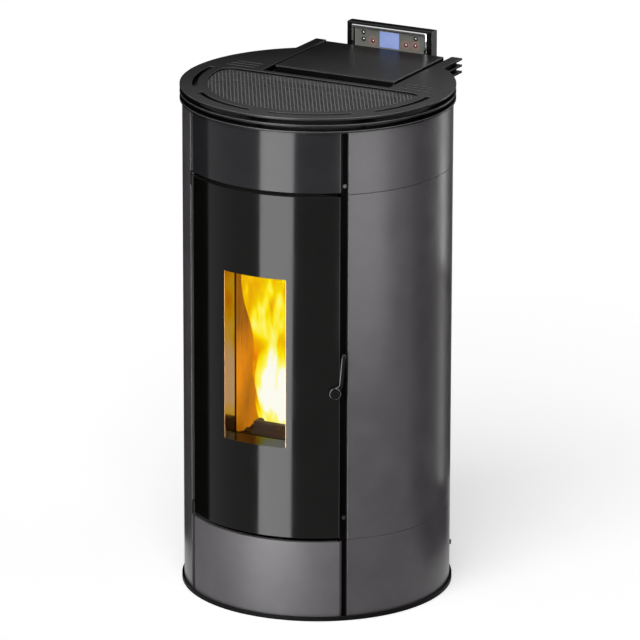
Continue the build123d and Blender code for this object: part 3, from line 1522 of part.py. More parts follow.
def main():
    """Build every piece and write it to its own STEP file."""
    right_sides = {
        "lower": side_panel(base_sheet, lower_seam - seam_gap / 2),
        "middle": side_panel(lower_seam + seam_gap / 2, upper_seam - seam_gap / 2),
        "upper": side_panel(upper_seam + seam_gap / 2, panel_top),
    }
    nodes = {
        "base_plate": make_base_plate(),
        "levelling_feet": make_levelling_feet(),
        "frame_posts": make_frame_posts(),
        "partition_panel": make_partition(),
        "front_top_panel": front_panel(front_top_bottom, panel_top),
        "front_bottom_panel": front_panel(base_sheet, front_bottom_top),
        "rear_panel": make_rear_panel(),
        "top_plate_upper": make_top_plate_upper(),
        "top_plate_middle": make_inner_plate(middle_plate_z),
        "top_plate_lower": make_inner_plate(lower_plate_z),
        "top_spacers": make_top_spacers(),
        "top_grille": make_top_grille(),
        "firebox": make_firebox(),
        "firebox_liner": make_firebox_liner(),
        "flame_baffle": make_flame_baffle(),
        "burn_pot": make_burn_pot(),
        "burn_pot_cradle": make_burn_pot_cradle(),
        "ash_pan": make_ash_pan(),
        "igniter": make_igniter(),
        "pellet_chute": make_pellet_chute(),
        "hopper": make_hopper(),
        "auger_tube": make_auger_tube(),
        "auger_screw": make_auger_screw(),
        "auger_gearmotor": make_auger_gearmotor(),
        "exhaust_fan_housing": make_exhaust_fan_housing(),
        "exhaust_fan_motor": make_exhaust_fan_motor(),
        "exhaust_impeller": make_exhaust_impeller(),
        "flue_outlet": make_flue_outlet(),
        "room_fan_housing": make_room_fan_housing(),
        "room_fan_impeller": make_room_fan_impeller(),
        "air_intake_pipe": make_air_intake_pipe(),
        "door_frame": make_door_frame(),
        "door_front": make_door_front(),
        "door_glass": make_door_glass(),
        "door_gasket": make_door_gasket(),
        "door_hinges": make_door_hinges(),
        "door_handle": make_door_handle(),
        "latch_keeper": make_latch_keeper(),
        "hopper_lid": make_hopper_lid(),
        "lid_hinge": make_lid_hinge(),
        "display_housing": make_display_housing(),
        "display_bezel": make_display_bezel(),
        "display_screen": make_display_screen(),
        "display_guide": make_display_guide(),
        "power_inlet": make_power_inlet(),
        "power_switch": make_power_switch(),
        "control_board": make_control_board(),
        "cover_screws": make_cover_screws(),
    }
    for tier, panel in right_sides.items():
        nodes[f"side_panel_right_{tier}"] = panel
        nodes[f"side_panel_left_{tier}"] = mirror(panel, about=Plane.YZ)
    for number, (x, rise) in enumerate(button_places, start=1):
        nodes[f"button_{number}"] = make_button(x, rise)
    os.makedirs("parts", exist_ok=True)
    for name, shape in nodes.items():
        export_step(shape, f"parts/{name}.step")


main()
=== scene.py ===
import logging
from dataclasses import dataclass, field
from enum import Enum
from math import cos, pi, radians, sin, sqrt, tau

import bmesh
import bpy
import numpy as np
from mathutils import Matrix, Quaternion, Vector


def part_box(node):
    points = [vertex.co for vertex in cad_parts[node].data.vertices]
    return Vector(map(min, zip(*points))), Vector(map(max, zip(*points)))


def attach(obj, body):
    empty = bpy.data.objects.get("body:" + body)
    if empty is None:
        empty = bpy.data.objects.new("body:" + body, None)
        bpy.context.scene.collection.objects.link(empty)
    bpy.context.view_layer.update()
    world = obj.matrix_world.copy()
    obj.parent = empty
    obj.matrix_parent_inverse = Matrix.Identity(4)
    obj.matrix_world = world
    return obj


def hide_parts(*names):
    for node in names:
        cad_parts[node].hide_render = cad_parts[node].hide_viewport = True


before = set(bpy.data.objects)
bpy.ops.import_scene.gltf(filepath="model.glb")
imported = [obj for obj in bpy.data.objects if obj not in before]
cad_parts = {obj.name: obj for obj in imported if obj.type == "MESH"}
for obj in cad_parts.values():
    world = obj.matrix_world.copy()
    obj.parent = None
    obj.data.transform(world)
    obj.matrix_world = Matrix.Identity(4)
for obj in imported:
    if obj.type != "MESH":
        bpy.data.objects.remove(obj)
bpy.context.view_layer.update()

# Looks of a round free-standing pellet stove, dressed around its fixed frame. Metres, +Z up, front at -Y.

LOG = logging.getLogger("stove")

Colour = tuple[float, float, float]
Direction = tuple[float, float, float]
Pair = tuple[float, float]
Node = bpy.types.Node
NodeTree = bpy.types.NodeTree
Socket = bpy.types.NodeSocket
Material = bpy.types.Material
Piece = bpy.types.Object

BLACK = (0.0, 0.0, 0.0)
WHITE = (1.0, 1.0, 1.0)
FLAME_HEART = (0.0, -0.12, 0.43)
FOLD_ANGLE = radians(35.0)      # faces that meet more steeply than this keep a sharp edge
GRAIN_DEPTH = 0.0001            # height of the grain of paint, metal and plastic
SOFT_EDGE = 0.0006              # radius that a metal or plastic edge seems to have
DOUBLE = 0.00002                # points nearer to each other than this are one
KEYS = range(1, 7)


class Axis(Enum):
    """Direction in which a metal was brushed or rolled."""

    ACROSS = (1.0, 24.0, 24.0)
    ROUND = (8.0, 8.0, 8.0)


# ---- Shader building ----

class Bench:
    """A node tree with short ways to add and join its nodes."""

    def __init__(self, tree: NodeTree) -> None:
        """Takes the tree to work on."""
        self.tree = tree

    def add(self, kind: str, **settings: object) -> Node:
        """Adds a node and sets its properties.

        Args:
            kind: Blender's name for the node's type.
            settings: properties by name.

        Returns:
            The new node.
        """
        node = self.tree.nodes.new(kind)
        for name, value in settings.items():
            setattr(node, name, value)
        return node

    def feed(self, socket: Socket, value: object) -> None:
        """Joins an output to an input, or sets the input to a constant."""
        if isinstance(value, Socket):
            self.tree.links.new(value, socket)
        elif isinstance(value, tuple) and len(value) == 3 and socket.type == "RGBA":
            socket.default_value = (*value, 1.0)
        else:
            socket.default_value = value

    def join(self, node: Node, **values: object) -> Node:
        """Feeds a node's inputs by name.

        Args:
            node: the node.
            values: outputs or constants by the input's name, with _ for a space.

        Returns:
            The same node.
        """
        for name, value in values.items():
            self.feed(node.inputs[name.replace("_", " ")], value)
        return node

    def run(self, node: Node, *values: object) -> Node:
        """Feeds a node's inputs in their order and returns the node."""
        for socket, value in zip(node.inputs, values):
            self.feed(socket, value)
        return node

    def math(self, operation: str, first: object, second: object = 0.0) -> Socket:
        """Adds a Math node, unclamped, and returns its result."""
        return self.run(self.add("ShaderNodeMath", operation=operation), first, second).outputs[0]

    def product(self, first: object, *others: object) -> Socket:
        """Multiplies values together."""
        for other in others:
            first = self.math("MULTIPLY", first, other)
        return first

    def vector(self, operation: str, first: object, second: object, output: str = "Value") -> Socket:
        """Adds a Vector Math node and returns its value, or another output by name."""
        return self.run(self.add("ShaderNodeVectorMath", operation=operation), first, second).outputs[output]

    def span(self, value: object, low: float, high: float, to_low: float, to_high: float) -> Socket:
        """Maps a value from one range to another, clamped at both ends."""
        return self.run(self.add("ShaderNodeMapRange"), value, low, high, to_low, to_high).outputs[0]

    def inside(self, value: object, low: float, high: float) -> Socket:
        """One where a value lies between two limits, else nought."""
        return self.product(self.math("GREATER_THAN", value, low), self.math("LESS_THAN", value, high))

    def mix(self, share: object, first: object, second: object) -> Socket:
        """Mixes two colours by a share from 0 to 1."""
        node = self.add("ShaderNodeMix", data_type="RGBA")
        self.feed(node.inputs[0], share)
        self.feed(node.inputs[6], first)
        self.feed(node.inputs[7], second)
        return node.outputs[2]

    def ramp(self, value: object, stops: tuple[tuple[float, Colour], ...]) -> Socket:
        """Turns a value into a colour between the given stops."""
        node = self.add("ShaderNodeValToRGB")
        points = node.color_ramp.elements
        while len(points) < len(stops):
            points.new(1.0)
        for point, (place, colour) in zip(points, stops):
            point.position = place
            point.color = (*colour, 1.0)
        return self.run(node, value).outputs[0]

    def noise(self, vector: object, scale: object, detail: float) -> Socket:
        """Adds a fractal noise and returns its value, from about 0.2 to 0.8."""
        node = self.add("ShaderNodeTexNoise")
        return self.join(node, Vector=vector, Scale=scale, Detail=detail).outputs["Fac"]

    def place(self) -> Socket:
        """Position on the piece in the stove's own frame."""
        return self.add("ShaderNodeTexCoord").outputs["Object"]

    def axes(self) -> tuple[Socket, ...]:
        """The position's x, y and z, each by itself."""
        return tuple(self.run(self.add("ShaderNodeSeparateXYZ"), self.place()).outputs)

    def stretched(self, vector: object, scale: Direction) -> Socket:
        """Scales a position along each axis."""
        return self.join(self.add("ShaderNodeMapping"), Vector=vector, Scale=scale).outputs[0]

    def normal(self) -> Socket:
        """The surface's true normal."""
        return self.add("ShaderNodeNewGeometry").outputs["Normal"]

    def rounded(self, radius: object, samples: int = 4) -> Socket:
        """Normal that rolls over sharp edges, as a folded or painted edge does."""
        return self.join(self.add("ShaderNodeBevel", samples=samples), Radius=radius).outputs[0]

    def painted_edge_highlight(self, side: Direction, width: float) -> Socket:
        """Mask of a painted highlight along the edges that face one side.

        It is how far a normal rounded over the edge leans from the true one towards that side.
        """
        lean = self.vector("SUBTRACT", self.rounded(width, 6), self.normal(), "Vector")
        towards = self.vector("DOT_PRODUCT", lean, Vector(side).normalized())
        return self.span(towards, 0.05, 0.26, 0.0, 1.0)

    def bump(self, height: object, strength: float, depth: float, normal: object = None) -> Socket:
        """Adds a bump of the given depth in metres, over a given normal, and returns the new normal."""
        node = self.join(self.add("ShaderNodeBump"), Strength=strength, Distance=depth, Height=height)
        if normal is not None:
            self.join(node, Normal=normal)
        return node.outputs[0]

    def seen(self) -> Socket:
        """One for what the camera, gloss and glass see, else nought."""
        rays = self.add("ShaderNodeLightPath").outputs
        seen = self.math("MAXIMUM", rays["Is Camera Ray"], rays["Is Glossy Ray"])
        return self.math("MAXIMUM", seen, rays["Is Transmission Ray"])

    def effect(self, tree: NodeTree, **values: object) -> bpy.types.bpy_prop_collection:
        """Places a shared effect with its own values and returns its outputs."""
        return self.join(self.add("ShaderNodeGroup", node_tree=tree), **values).outputs


def new_effect(name: str, **inputs: float) -> tuple[Bench, bpy.types.bpy_prop_collection]:
    """Starts a shared shader effect, which reads a position and some values.

    Args:
        name: the group's name.
        inputs: each value that it reads, with its usual amount.

    Returns:
        The bench and what the effect is given, by name.
    """
    bench = Bench(bpy.data.node_groups.new(name, "ShaderNodeTree"))
    bench.tree.interface.new_socket(name="Vector", in_out="INPUT", socket_type="NodeSocketVector")
    for label, value in inputs.items():
        socket = bench.tree.interface.new_socket(name=label, in_out="INPUT", socket_type="NodeSocketFloat")
        socket.default_value = value
    return bench, bench.add("NodeGroupInput").outputs


def end_effect(bench: Bench, **outputs: Socket) -> NodeTree:
    """Puts out an effect's values by name and returns the finished group."""
    for label in outputs:
        bench.tree.interface.new_socket(name=label, in_out="OUTPUT", socket_type="NodeSocketFloat")
    bench.join(bench.add("NodeGroupOutput"), **outputs)
    return bench.tree


class Effects:
    """Shared effects: fine grain, edges that are partly worn and partly painted highlight, handling smudges,
    brushing, soot and the fire's painted light.
    """

    def __init__(self) -> None:
        """Builds each effect once."""
        self.grain = self.make_grain()
        self.wear_and_highlight = self.make_wear_and_highlight()
        self.smudge = self.make_smudge()
        self.brushing = self.make_brushing()
        self.soot = self.make_soot()
        self.painted_firelight = self.make_painted_firelight()

    @staticmethod
    def make_grain() -> NodeTree:
        """Two sizes of noise: the fine one is height, the coarse one is shade."""
        bench, given = new_effect("fine_grain", Scale=900.0)
        fine = bench.noise(given["Vector"], given["Scale"], 2.0)
        coarse = bench.noise(given["Vector"], bench.product(given["Scale"], 0.02), 4.0)
        return end_effect(bench, Height=fine, Shade=bench.span(coarse, 0.3, 0.7, 0.0, 1.0))

    @staticmethod
    def make_wear_and_highlight() -> NodeTree:
        """Angle between the true normal and one rounded over an edge, broken up by noise: a mask for edges
        that are partly worn and partly painted highlight.
        """
        bench, given = new_effect("edge_wear_and_highlight", Radius=0.001, Amount=0.5)
        likeness = bench.vector("DOT_PRODUCT", bench.rounded(given["Radius"]), bench.normal())
        edge = bench.span(likeness, 0.985, 0.82, 0.0, 1.0)
        broken = bench.span(bench.noise(given["Vector"], 140.0, 4.0), 0.38, 0.62, 0.25, 1.0)
        return end_effect(bench, Mask=bench.product(edge, broken, given["Amount"]))

    @staticmethod
    def make_smudge() -> NodeTree:
        """Soft patches that move the roughness between two values."""
        bench, given = new_effect("smudge", Low=0.3, High=0.4)
        share = bench.span(bench.noise(given["Vector"], 9.0, 5.0), 0.35, 0.65, 0.0, 1.0)
        rise = bench.math("SUBTRACT", given["High"], given["Low"])
        return end_effect(bench, Roughness=bench.math("ADD", given["Low"], bench.product(share, rise)))

    @staticmethod
    def make_brushing() -> NodeTree:
        """Noise on a stretched position, for brushed or rolled metal."""
        bench, given = new_effect("brushing", Scale=60.0)
        return end_effect(bench, Height=bench.noise(given["Vector"], given["Scale"], 4.0))

    @staticmethod
    def make_soot() -> NodeTree:
        """Cloudy soot deposit, thicker where its noise is high."""
        bench, given = new_effect("soot", Amount=0.6)
        cloud = bench.span(bench.noise(given["Vector"], 22.0, 6.0), 0.35, 0.68, 0.0, 1.0)
        return end_effect(bench, Mask=bench.product(cloud, given["Amount"]))

    @staticmethod
    def make_painted_firelight() -> NodeTree:
        """Painted firelight: one over one plus the square of the distance from the flame's heart, counted in
        reaches.
        """
        bench, given = new_effect("painted_firelight_group", Reach=0.12)
        share = bench.math("DIVIDE", bench.vector("DISTANCE", given["Vector"], FLAME_HEART), given["Reach"])
        below = bench.math("ADD", bench.product(share, share), 1.0)
        return end_effect(bench, Strength=bench.math("DIVIDE", 1.0, below))


EFFECTS = Effects()


def new_material(name: str) -> tuple[Material, Bench, Node]:
    """Starts a material.

    Args:
        name: the material's name.

    Returns:
        The material, its bench and its Principled shader.
    """
    material = bpy.data.materials.new(name)
    material.use_nodes = True
    return material, Bench(material.node_tree), material.node_tree.nodes["Principled BSDF"]


def shaded(colour: Colour, share: float) -> Colour:
    """The colour, with each part times a share."""
    return tuple(share * part for part in colour)


# ---- Finishes ----

@dataclass(frozen=True)
class Finish:
    """A surface finish, which its material is named for."""

    name: str

    def material(self) -> Material:
        """Makes the finish's material."""
        material, bench, shader = new_material(self.name)
        self.lay(bench, shader)
        return material

    def lay(self, bench: Bench, shader: Node) -> None:
        """Lays the finish on a shader, each kind in its own way."""
        raise NotImplementedError


@dataclass(frozen=True)
class PaintFinish(Finish):
    """Sprayed or powder-coated steel, with pale edges that are partly worn and partly painted highlight, soft
    smudges and, where asked, a painted highlight line along the edges that face one side.
    """

    colour: Colour
    roughness: float
    specular: float = 0.3
    grain_scale: float = 900.0
    grain_strength: float = 0.12
    # how much the edges are paled, partly as real wear and partly as painted highlight
    wear_and_highlight: float = 0.25
    wear_and_highlight_colour: Colour = (0.34, 0.33, 0.33)
    edge_radius: float = 0.0009
    # line: strength of a painted highlight line along the edges that face one side
    line: float = 0.0
    highlight_side: Direction = (0.0, 0.0, 1.0)
    highlight_width: float = 0.0015
    highlight_colour: Colour = (0.8, 0.8, 0.8)

    def lay(self, bench: Bench, shader: Node) -> None:
        """Lays the paint: a faintly shaded colour, its pale edges of wear and painted highlight and its
        painted highlight line over it, and a fine grain.
        """
        place = bench.place()
        grain = bench.effect(EFFECTS.grain, Vector=place, Scale=self.grain_scale)
        tone = bench.mix(grain["Shade"], shaded(self.colour, 0.9), shaded(self.colour, 1.1))
        # Pale edges: partly real wear, partly painted highlight
        worn_and_lit_edges = bench.effect(EFFECTS.wear_and_highlight, Vector=place, Radius=self.edge_radius, Amount=self.wear_and_highlight)
        tone = bench.mix(worn_and_lit_edges["Mask"], tone, self.wear_and_highlight_colour)
        # Painted highlight: a pale line on the edges that face the given side
        if self.line > 0:
            share = bench.product(bench.painted_edge_highlight(self.highlight_side, self.highlight_width), self.line)
            tone = bench.mix(share, tone, self.highlight_colour)
        spread = 0.06 * self.roughness + 0.01
        low, high = self.roughness - spread, self.roughness + spread
        edge = bench.rounded(self.edge_radius)
        bench.join(
            shader,
            Base_Color=tone,
            Roughness=bench.effect(EFFECTS.smudge, Vector=place, Low=low, High=high)["Roughness"],
            Normal=bench.bump(grain["Height"], self.grain_strength, GRAIN_DEPTH, edge),
            Specular_IOR_Level=self.specular,
        )


@dataclass(frozen=True)
class DoorFinish(PaintFinish):
    """Gloss paint, with the window's side walls left as heat-tinted bright steel."""

    reveal: Pair = (0.0664, 0.0677)
    reveal_height: Pair = (0.355, 0.6945)
    reveal_front: float = -0.2605
    reveal_colour: Colour = (0.42, 0.23, 0.09)

    def lay(self, bench: Bench, shader: Node) -> None:
        """Lays the paint, then the steel over it between the reveal's limits."""
        super().lay(bench, shader)
        x, y, z = bench.axes()
        side = bench.inside(bench.math("ABSOLUTE", x), *self.reveal)
        tall = bench.inside(z, *self.reveal_height)
        mask = bench.product(side, tall, bench.math("GREATER_THAN", y, self.reveal_front))
        paint = shader.inputs["Base Color"].links[0].from_socket
        bench.join(shader, Base_Color=bench.mix(mask, paint, self.reveal_colour), Metallic=mask)


@dataclass(frozen=True)
class MetalFinish(Finish):
    """Bare, plated or brushed metal with faint tarnish."""

    colour: Colour
    roughness: float
    axis: Axis = Axis.ACROSS
    brush_strength: float = 0.1
    brush_scale: float = 60.0
    tarnish: Colour = (0.3, 0.28, 0.26)
    tarnish_amount: float = 0.25

    def lay(self, bench: Bench, shader: Node) -> None:
        """Lays the metal, whose brushing moves both its roughness and its height."""
        place = bench.place()
        grooves = bench.stretched(place, self.axis.value)
        brushing = bench.effect(EFFECTS.brushing, Vector=grooves, Scale=self.brush_scale)["Height"]
        cloud = bench.effect(EFFECTS.soot, Vector=place, Amount=self.tarnish_amount)["Mask"]
        bench.join(
            shader,
            Base_Color=bench.mix(cloud, self.colour, self.tarnish),
            Roughness=bench.span(brushing, 0.3, 0.7, 0.8 * self.roughness, 1.25 * self.roughness),
            Normal=bench.bump(brushing, self.brush_strength, GRAIN_DEPTH, bench.rounded(SOFT_EDGE)),
            Metallic=1.0,
        )


@dataclass(frozen=True)
class CastFinish(Finish):
    """Rough iron or fire-proof board, sooted, with the flame's light painted on as an orange emission where
    it is near.
    """

    colour: Colour
    roughness: float = 0.75
    roughness_spread: float = 0.08
    soot: float = 0.5
    soot_colour: Colour = (0.012, 0.011, 0.01)
    painted_firelight: float = 0.0
    firelight_reach: float = 0.11
    firelight_colour: Colour = (1.0, 0.32, 0.0)
    relief: float = 0.35
    relief_depth: float = 0.0004
    edge_radius: float = 0.001

    def lay(self, bench: Bench, shader: Node) -> None:
        """Lays the iron, with its clouded painted firelight where it has one."""
        place = bench.place()
        grain = bench.effect(EFFECTS.grain, Vector=place, Scale=420.0)
        soot = bench.effect(EFFECTS.soot, Vector=place, Amount=self.soot)["Mask"]
        low, high = self.roughness - self.roughness_spread, self.roughness + self.roughness_spread
        edge = bench.rounded(self.edge_radius)
        bench.join(
            shader,
            Base_Color=bench.mix(soot, self.colour, self.soot_colour),
            Roughness=bench.span(grain["Shade"], 0.0, 1.0, low, high),
            Normal=bench.bump(grain["Height"], self.relief, self.relief_depth, edge),
            Specular_IOR_Level=0.2,
        )
        # Painted firelight: an orange emission that stands in for the flame's light on the walls
        if self.painted_firelight > 0:
            firelight_falloff = bench.effect(EFFECTS.painted_firelight, Vector=place, Reach=self.firelight_reach)["Strength"]
            cloud = bench.noise(bench.stretched(place, (1.0, 1.0, 0.5)), 16.0, 3.0)
            share = bench.product(firelight_falloff, bench.span(cloud, 0.3, 0.7, 0.45, 1.15))
            lit = bench.mix(share, BLACK, self.firelight_colour)
            bench.join(shader, Emission_Color=lit, Emission_Strength=self.painted_firelight)


@dataclass(frozen=True)
class PlasticFinish(Finish):
    """Moulded plastic with a fine skin texture."""

    colour: Colour
    roughness: float
    specular: float = 0.4

    def lay(self, bench: Bench, shader: Node) -> None:
        """Lays the plastic."""
        place = bench.place()
        grain = bench.effect(EFFECTS.grain, Vector=place, Scale=1500.0)
        low, high = 0.85 * self.roughness, 1.15 * self.roughness
        bench.join(
            shader,
            Base_Color=bench.mix(grain["Shade"], shaded(self.colour, 0.85), self.colour),
            Roughness=bench.effect(EFFECTS.smudge, Vector=place, Low=low, High=high)["Roughness"],
            Normal=bench.bump(grain["Height"], 0.08, GRAIN_DEPTH, bench.rounded(SOFT_EDGE)),
            Specular_IOR_Level=self.specular,
        )


@dataclass(frozen=True)
class GlassFinish(Finish):
    """Clear heat-proof glass with a faint warm tint and dust."""

    tint: Colour = (0.97, 0.96, 0.95)

    def lay(self, bench: Bench, shader: Node) -> None:
        """Lays the glass."""
        dust = bench.effect(EFFECTS.smudge, Vector=bench.place(), Low=0.0, High=0.02)["Roughness"]
        bench.join(shader, Base_Color=self.tint, Roughness=dust, Transmission_Weight=1.0)
        bench.join(shader, IOR=1.1, Specular_IOR_Level=0.15)


@dataclass(frozen=True)
class RopeFinish(Finish):
    """Woven glass rope: slanted bands of yarn on a dull grey ground."""

    colour: Colour = (0.16, 0.155, 0.15)

    def lay(self, bench: Bench, shader: Node) -> None:
        """Lays the rope."""
        bands = bench.add("ShaderNodeTexWave", wave_type="BANDS", bands_direction="DIAGONAL")
        yarn = bench.join(bands, Vector=bench.place(), Scale=110.0, Distortion=1.5).outputs["Fac"]
        tone = bench.mix(yarn, shaded(self.colour, 0.45), self.colour)
        bench.join(shader, Base_Color=tone, Normal=bench.bump(yarn, 0.7, 0.0006), Roughness=0.9)


@dataclass(frozen=True)
class BoardFinish(Finish):
    """Lacquered circuit board with faint tracks."""

    colour: Colour = (0.02, 0.11, 0.04)

    def lay(self, bench: Bench, shader: Node) -> None:
        """Lays the board."""
        bricks = bench.add("ShaderNodeTexBrick")
        tracks = bench.join(bricks, Vector=bench.place(), Scale=90.0, Mortar_Size=0.05).outputs["Fac"]
        tone = bench.mix(tracks, self.colour, shaded(self.colour, 2.0))
        bench.join(shader, Base_Color=tone, Roughness=0.35)


@dataclass(frozen=True)
class ScreenFinish(Finish):
    """Lit liquid crystal panel, softly uneven, with a fine dot pattern."""

    colour: Colour = (0.3, 0.385, 0.72)
    dot_colour: Colour = (0.1, 0.12, 0.3)
    glass_colour: Colour = (0.05, 0.06, 0.12)
    strength: float = 0.92

    def lay(self, bench: Bench, shader: Node) -> None:
        """Lays the screen."""
        place = bench.place()
        dots = bench.join(bench.add("ShaderNodeTexChecker"), Vector=place, Scale=1400.0).outputs["Fac"]
        soft = bench.span(bench.noise(place, 40.0, 2.0), 0.3, 0.7, 0.0, 1.0)
        lit = bench.mix(soft, shaded(self.colour, 0.82), self.colour)
        lit = bench.mix(bench.product(dots, 0.08), lit, self.dot_colour)
        bench.join(shader, Emission_Color=lit, Emission_Strength=self.strength)
        bench.join(shader, Base_Color=self.glass_colour, Roughness=0.12)


@dataclass(frozen=True)
class FlameFinish(Finish):
    """Glowing gas: white low in its heart, streaked yellow above and orange at its ragged sides."""

    strength: float = 1.0
    foot: float = 0.37
    foot_half: float = 0.058
    top: float = 0.73
    top_half: float = 0.11
    core: Pair = (0.022, 0.078)
    core_squash: float = 0.8
    stops: tuple[tuple[float, Colour], ...] = (
        (0.0, (0.62, 0.09, 0.0)),
        (0.22, (0.87, 0.2, 0.0)),
        (0.42, (0.86, 0.42, 0.0)),
        (0.62, (1.0, 0.82, 0.0)),
        (0.82, (1.0, 0.96, 0.2)),
        (0.97, (1.0, 1.0, 0.9)),
    )

    def lay(self, bench: Bench, shader: Node) -> None:
        """Lays the flame.

        A point's side share is its distance from the middle over the flame's half width at its
        height. Its heat is a steady part and its streak, less the cube of the side share, plus a
        part that fades away from the core.
        """
        place = bench.place()
        x, _, z = bench.axes()
        half = bench.span(z, self.foot, self.top, self.foot_half, self.top_half)
        side = bench.math("DIVIDE", bench.math("ABSOLUTE", x), half)
        broad = bench.noise(bench.stretched(place, (1.0, 1.0, 0.4)), 22.0, 3.0)
        fine = bench.noise(bench.stretched(place, (1.0, 1.0, 0.25)), 58.0, 5.0)
        broad = bench.span(broad, 0.34, 0.66, -0.22, 0.22)
        streak = bench.math("ADD", broad, bench.span(fine, 0.34, 0.66, -0.14, 0.14))
        flat = bench.stretched(place, (1.0, 0.0, self.core_squash))
        away = bench.vector("DISTANCE", flat, (0.0, 0.0, self.core_squash * FLAME_HEART[2]))
        core = bench.span(away, *self.core, 0.56, 0.0)
        cooled = bench.product(bench.math("POWER", side, 3.0), 0.3)
        heat = bench.math("ADD", bench.math("ADD", streak, core), 0.59)
        heat = bench.math("SUBTRACT", heat, cooled)
        edge = bench.math("ADD", bench.math("SUBTRACT", 1.08, side), bench.product(streak, 0.9))
        bench.join(shader, Emission_Color=bench.ramp(heat, self.stops), Emission_Strength=self.strength)
        bench.join(shader, Alpha=bench.span(edge, 0.0, 0.14, 0.0, 0.97))
        bench.join(shader, Base_Color=BLACK, Roughness=1.0, Specular_IOR_Level=0.0)


@dataclass(frozen=True)
class EmberFinish(Finish):
    """Burning wood pellets: charred, with glowing cracks."""

    char: Colour = (0.02, 0.015, 0.012)
    cinder: Colour = (0.3, 0.12, 0.04)
    dull_glow: Colour = (0.12, 0.01, 0.0)
    bright_glow: Colour = (1.0, 0.45, 0.08)

    def lay(self, bench: Bench, shader: Node) -> None:
        """Lays the embers."""
        hot = bench.span(bench.noise(bench.place(), 180.0, 4.0), 0.42, 0.6, 0.0, 1.0)
        lit = bench.mix(hot, self.dull_glow, self.bright_glow)
        bench.join(shader, Base_Color=bench.mix(hot, self.char, self.cinder), Roughness=0.9)
        bench.join(shader, Emission_Color=lit, Emission_Strength=2.4)


@dataclass(frozen=True)
class KeypadFinish(Finish):
    """Gloss black display case with pale ends, edges paled by painted highlight and wear, and an olive-grey
    key field inside its bezel.

    The field has a dark ring round each key and a faint red lamp by some of them.
    """

    case: Colour
    field_colour: Colour
    field_low: Pair
    field_high: Pair
    field_front: float
    end: float
    keys: tuple[Pair, ...]
    lit_keys: tuple[int, ...]
    end_colour: Colour = (0.2, 0.2, 0.2)
    # colour of the case's edges: a painted highlight, broken up like wear
    worn_and_highlight_colour: Colour = (0.7, 0.7, 0.7)
    ring: Pair = (0.0043, 0.0055)
    lamp: Pair = (0.004, 0.012)
    lamp_colour: Colour = (0.35, 0.06, 0.05)

    def nearest(self, bench: Bench, place: Socket, spots: tuple[Pair, ...], fade: Pair) -> Socket:
        """One at any of the spots, fading to nought between two distances from it."""
        most = 0.0
        for x, z in spots:
            away = bench.vector("DISTANCE", place, (x, self.field_front, z))
            most = bench.math("MAXIMUM", bench.span(away, *fade, 1.0, 0.0), most)
        return most

    def lay(self, bench: Bench, shader: Node) -> None:
        """Lays the case and its key field."""
        place = bench.place()
        x, y, z = bench.axes()
        wide = bench.inside(x, self.field_low[0], self.field_high[0])
        tall = bench.inside(z, self.field_low[1], self.field_high[1])
        mask = bench.product(wide, tall, bench.math("LESS_THAN", y, self.field_front))
        ends = bench.math("GREATER_THAN", bench.math("ABSOLUTE", x), self.end)
        # Pale case edges: painted highlight, broken up like wear
        worn_and_lit_edges = bench.effect(EFFECTS.wear_and_highlight, Vector=place, Radius=0.0012, Amount=0.9)["Mask"]
        case = bench.mix(worn_and_lit_edges, bench.mix(ends, self.case, self.end_colour), self.worn_and_highlight_colour)
        grain = bench.effect(EFFECTS.grain, Vector=place, Scale=1200.0)["Shade"]
        keys = bench.mix(grain, shaded(self.field_colour, 0.88), self.field_colour)
        rings = bench.product(self.nearest(bench, place, self.keys, self.ring), 0.92)
        keys = bench.mix(rings, keys, self.case)
        lit = tuple(self.keys[number] for number in self.lit_keys)
        light = bench.product(self.nearest(bench, place, lit, self.lamp), mask)
        bench.join(
            shader,
            Base_Color=bench.mix(mask, case, keys),
            Roughness=bench.span(mask, 0.0, 1.0, 0.16, 0.5),
            Emission_Color=bench.mix(light, BLACK, self.lamp_colour),
            Emission_Strength=0.4,
            Specular_IOR_Level=0.3,
            Normal=bench.rounded(SOFT_EDGE),
        )


# Painted highlights: the line amounts paint a pale line on the right edges of the door and front panel, the
# plates' top edges, the lid's front-left edges and the handle's front edges
RIGHT_HIGHLIGHT_SIDE = (0.99, -0.14, 0.0)
# Pale colour for edges that are partly worn and partly painted highlight
PALE_WEAR_AND_HIGHLIGHT = (0.3, 0.3, 0.3)
GUNMETAL = PaintFinish("gunmetal_satin", (0.086, 0.079, 0.085), 0.33, specular=0.28, wear_and_highlight=0.6)
PLINTH = PaintFinish("plinth_satin", (0.092, 0.086, 0.092), 0.6, specular=0.36, wear_and_highlight=0.5)
FRONT_DARK = PaintFinish(
    "front_dark_satin", (0.023, 0.023, 0.026), 0.14, specular=0.13, wear_and_highlight=0.1, line=0.2, highlight_side=RIGHT_HIGHLIGHT_SIDE,
)
DOOR_BLACK = DoorFinish(
    "door_gloss_black", (0.004, 0.004, 0.0036), 0.12, specular=0.12, grain_strength=0.02, wear_and_highlight=0.1,
    line=0.2, highlight_side=RIGHT_HIGHLIGHT_SIDE,
)
TOP_BLACK = PaintFinish(
    "top_textured_black", (0.006, 0.006, 0.0062), 0.38, specular=0.1, grain_scale=1300.0, grain_strength=0.25,
    wear_and_highlight=0.3, wear_and_highlight_colour=PALE_WEAR_AND_HIGHLIGHT, edge_radius=0.0012, line=1.0, highlight_width=0.0018, highlight_colour=PALE_WEAR_AND_HIGHLIGHT,
)
LID_BLACK = PaintFinish(
    "lid_satin_black", (0.004, 0.004, 0.0041), 0.34, specular=0.1, grain_scale=1300.0, grain_strength=0.15,
    wear_and_highlight=0.3, wear_and_highlight_colour=PALE_WEAR_AND_HIGHLIGHT, edge_radius=0.0012,
    line=1.0, highlight_side=(-0.3, -0.68, 0.68), highlight_width=0.003,
)
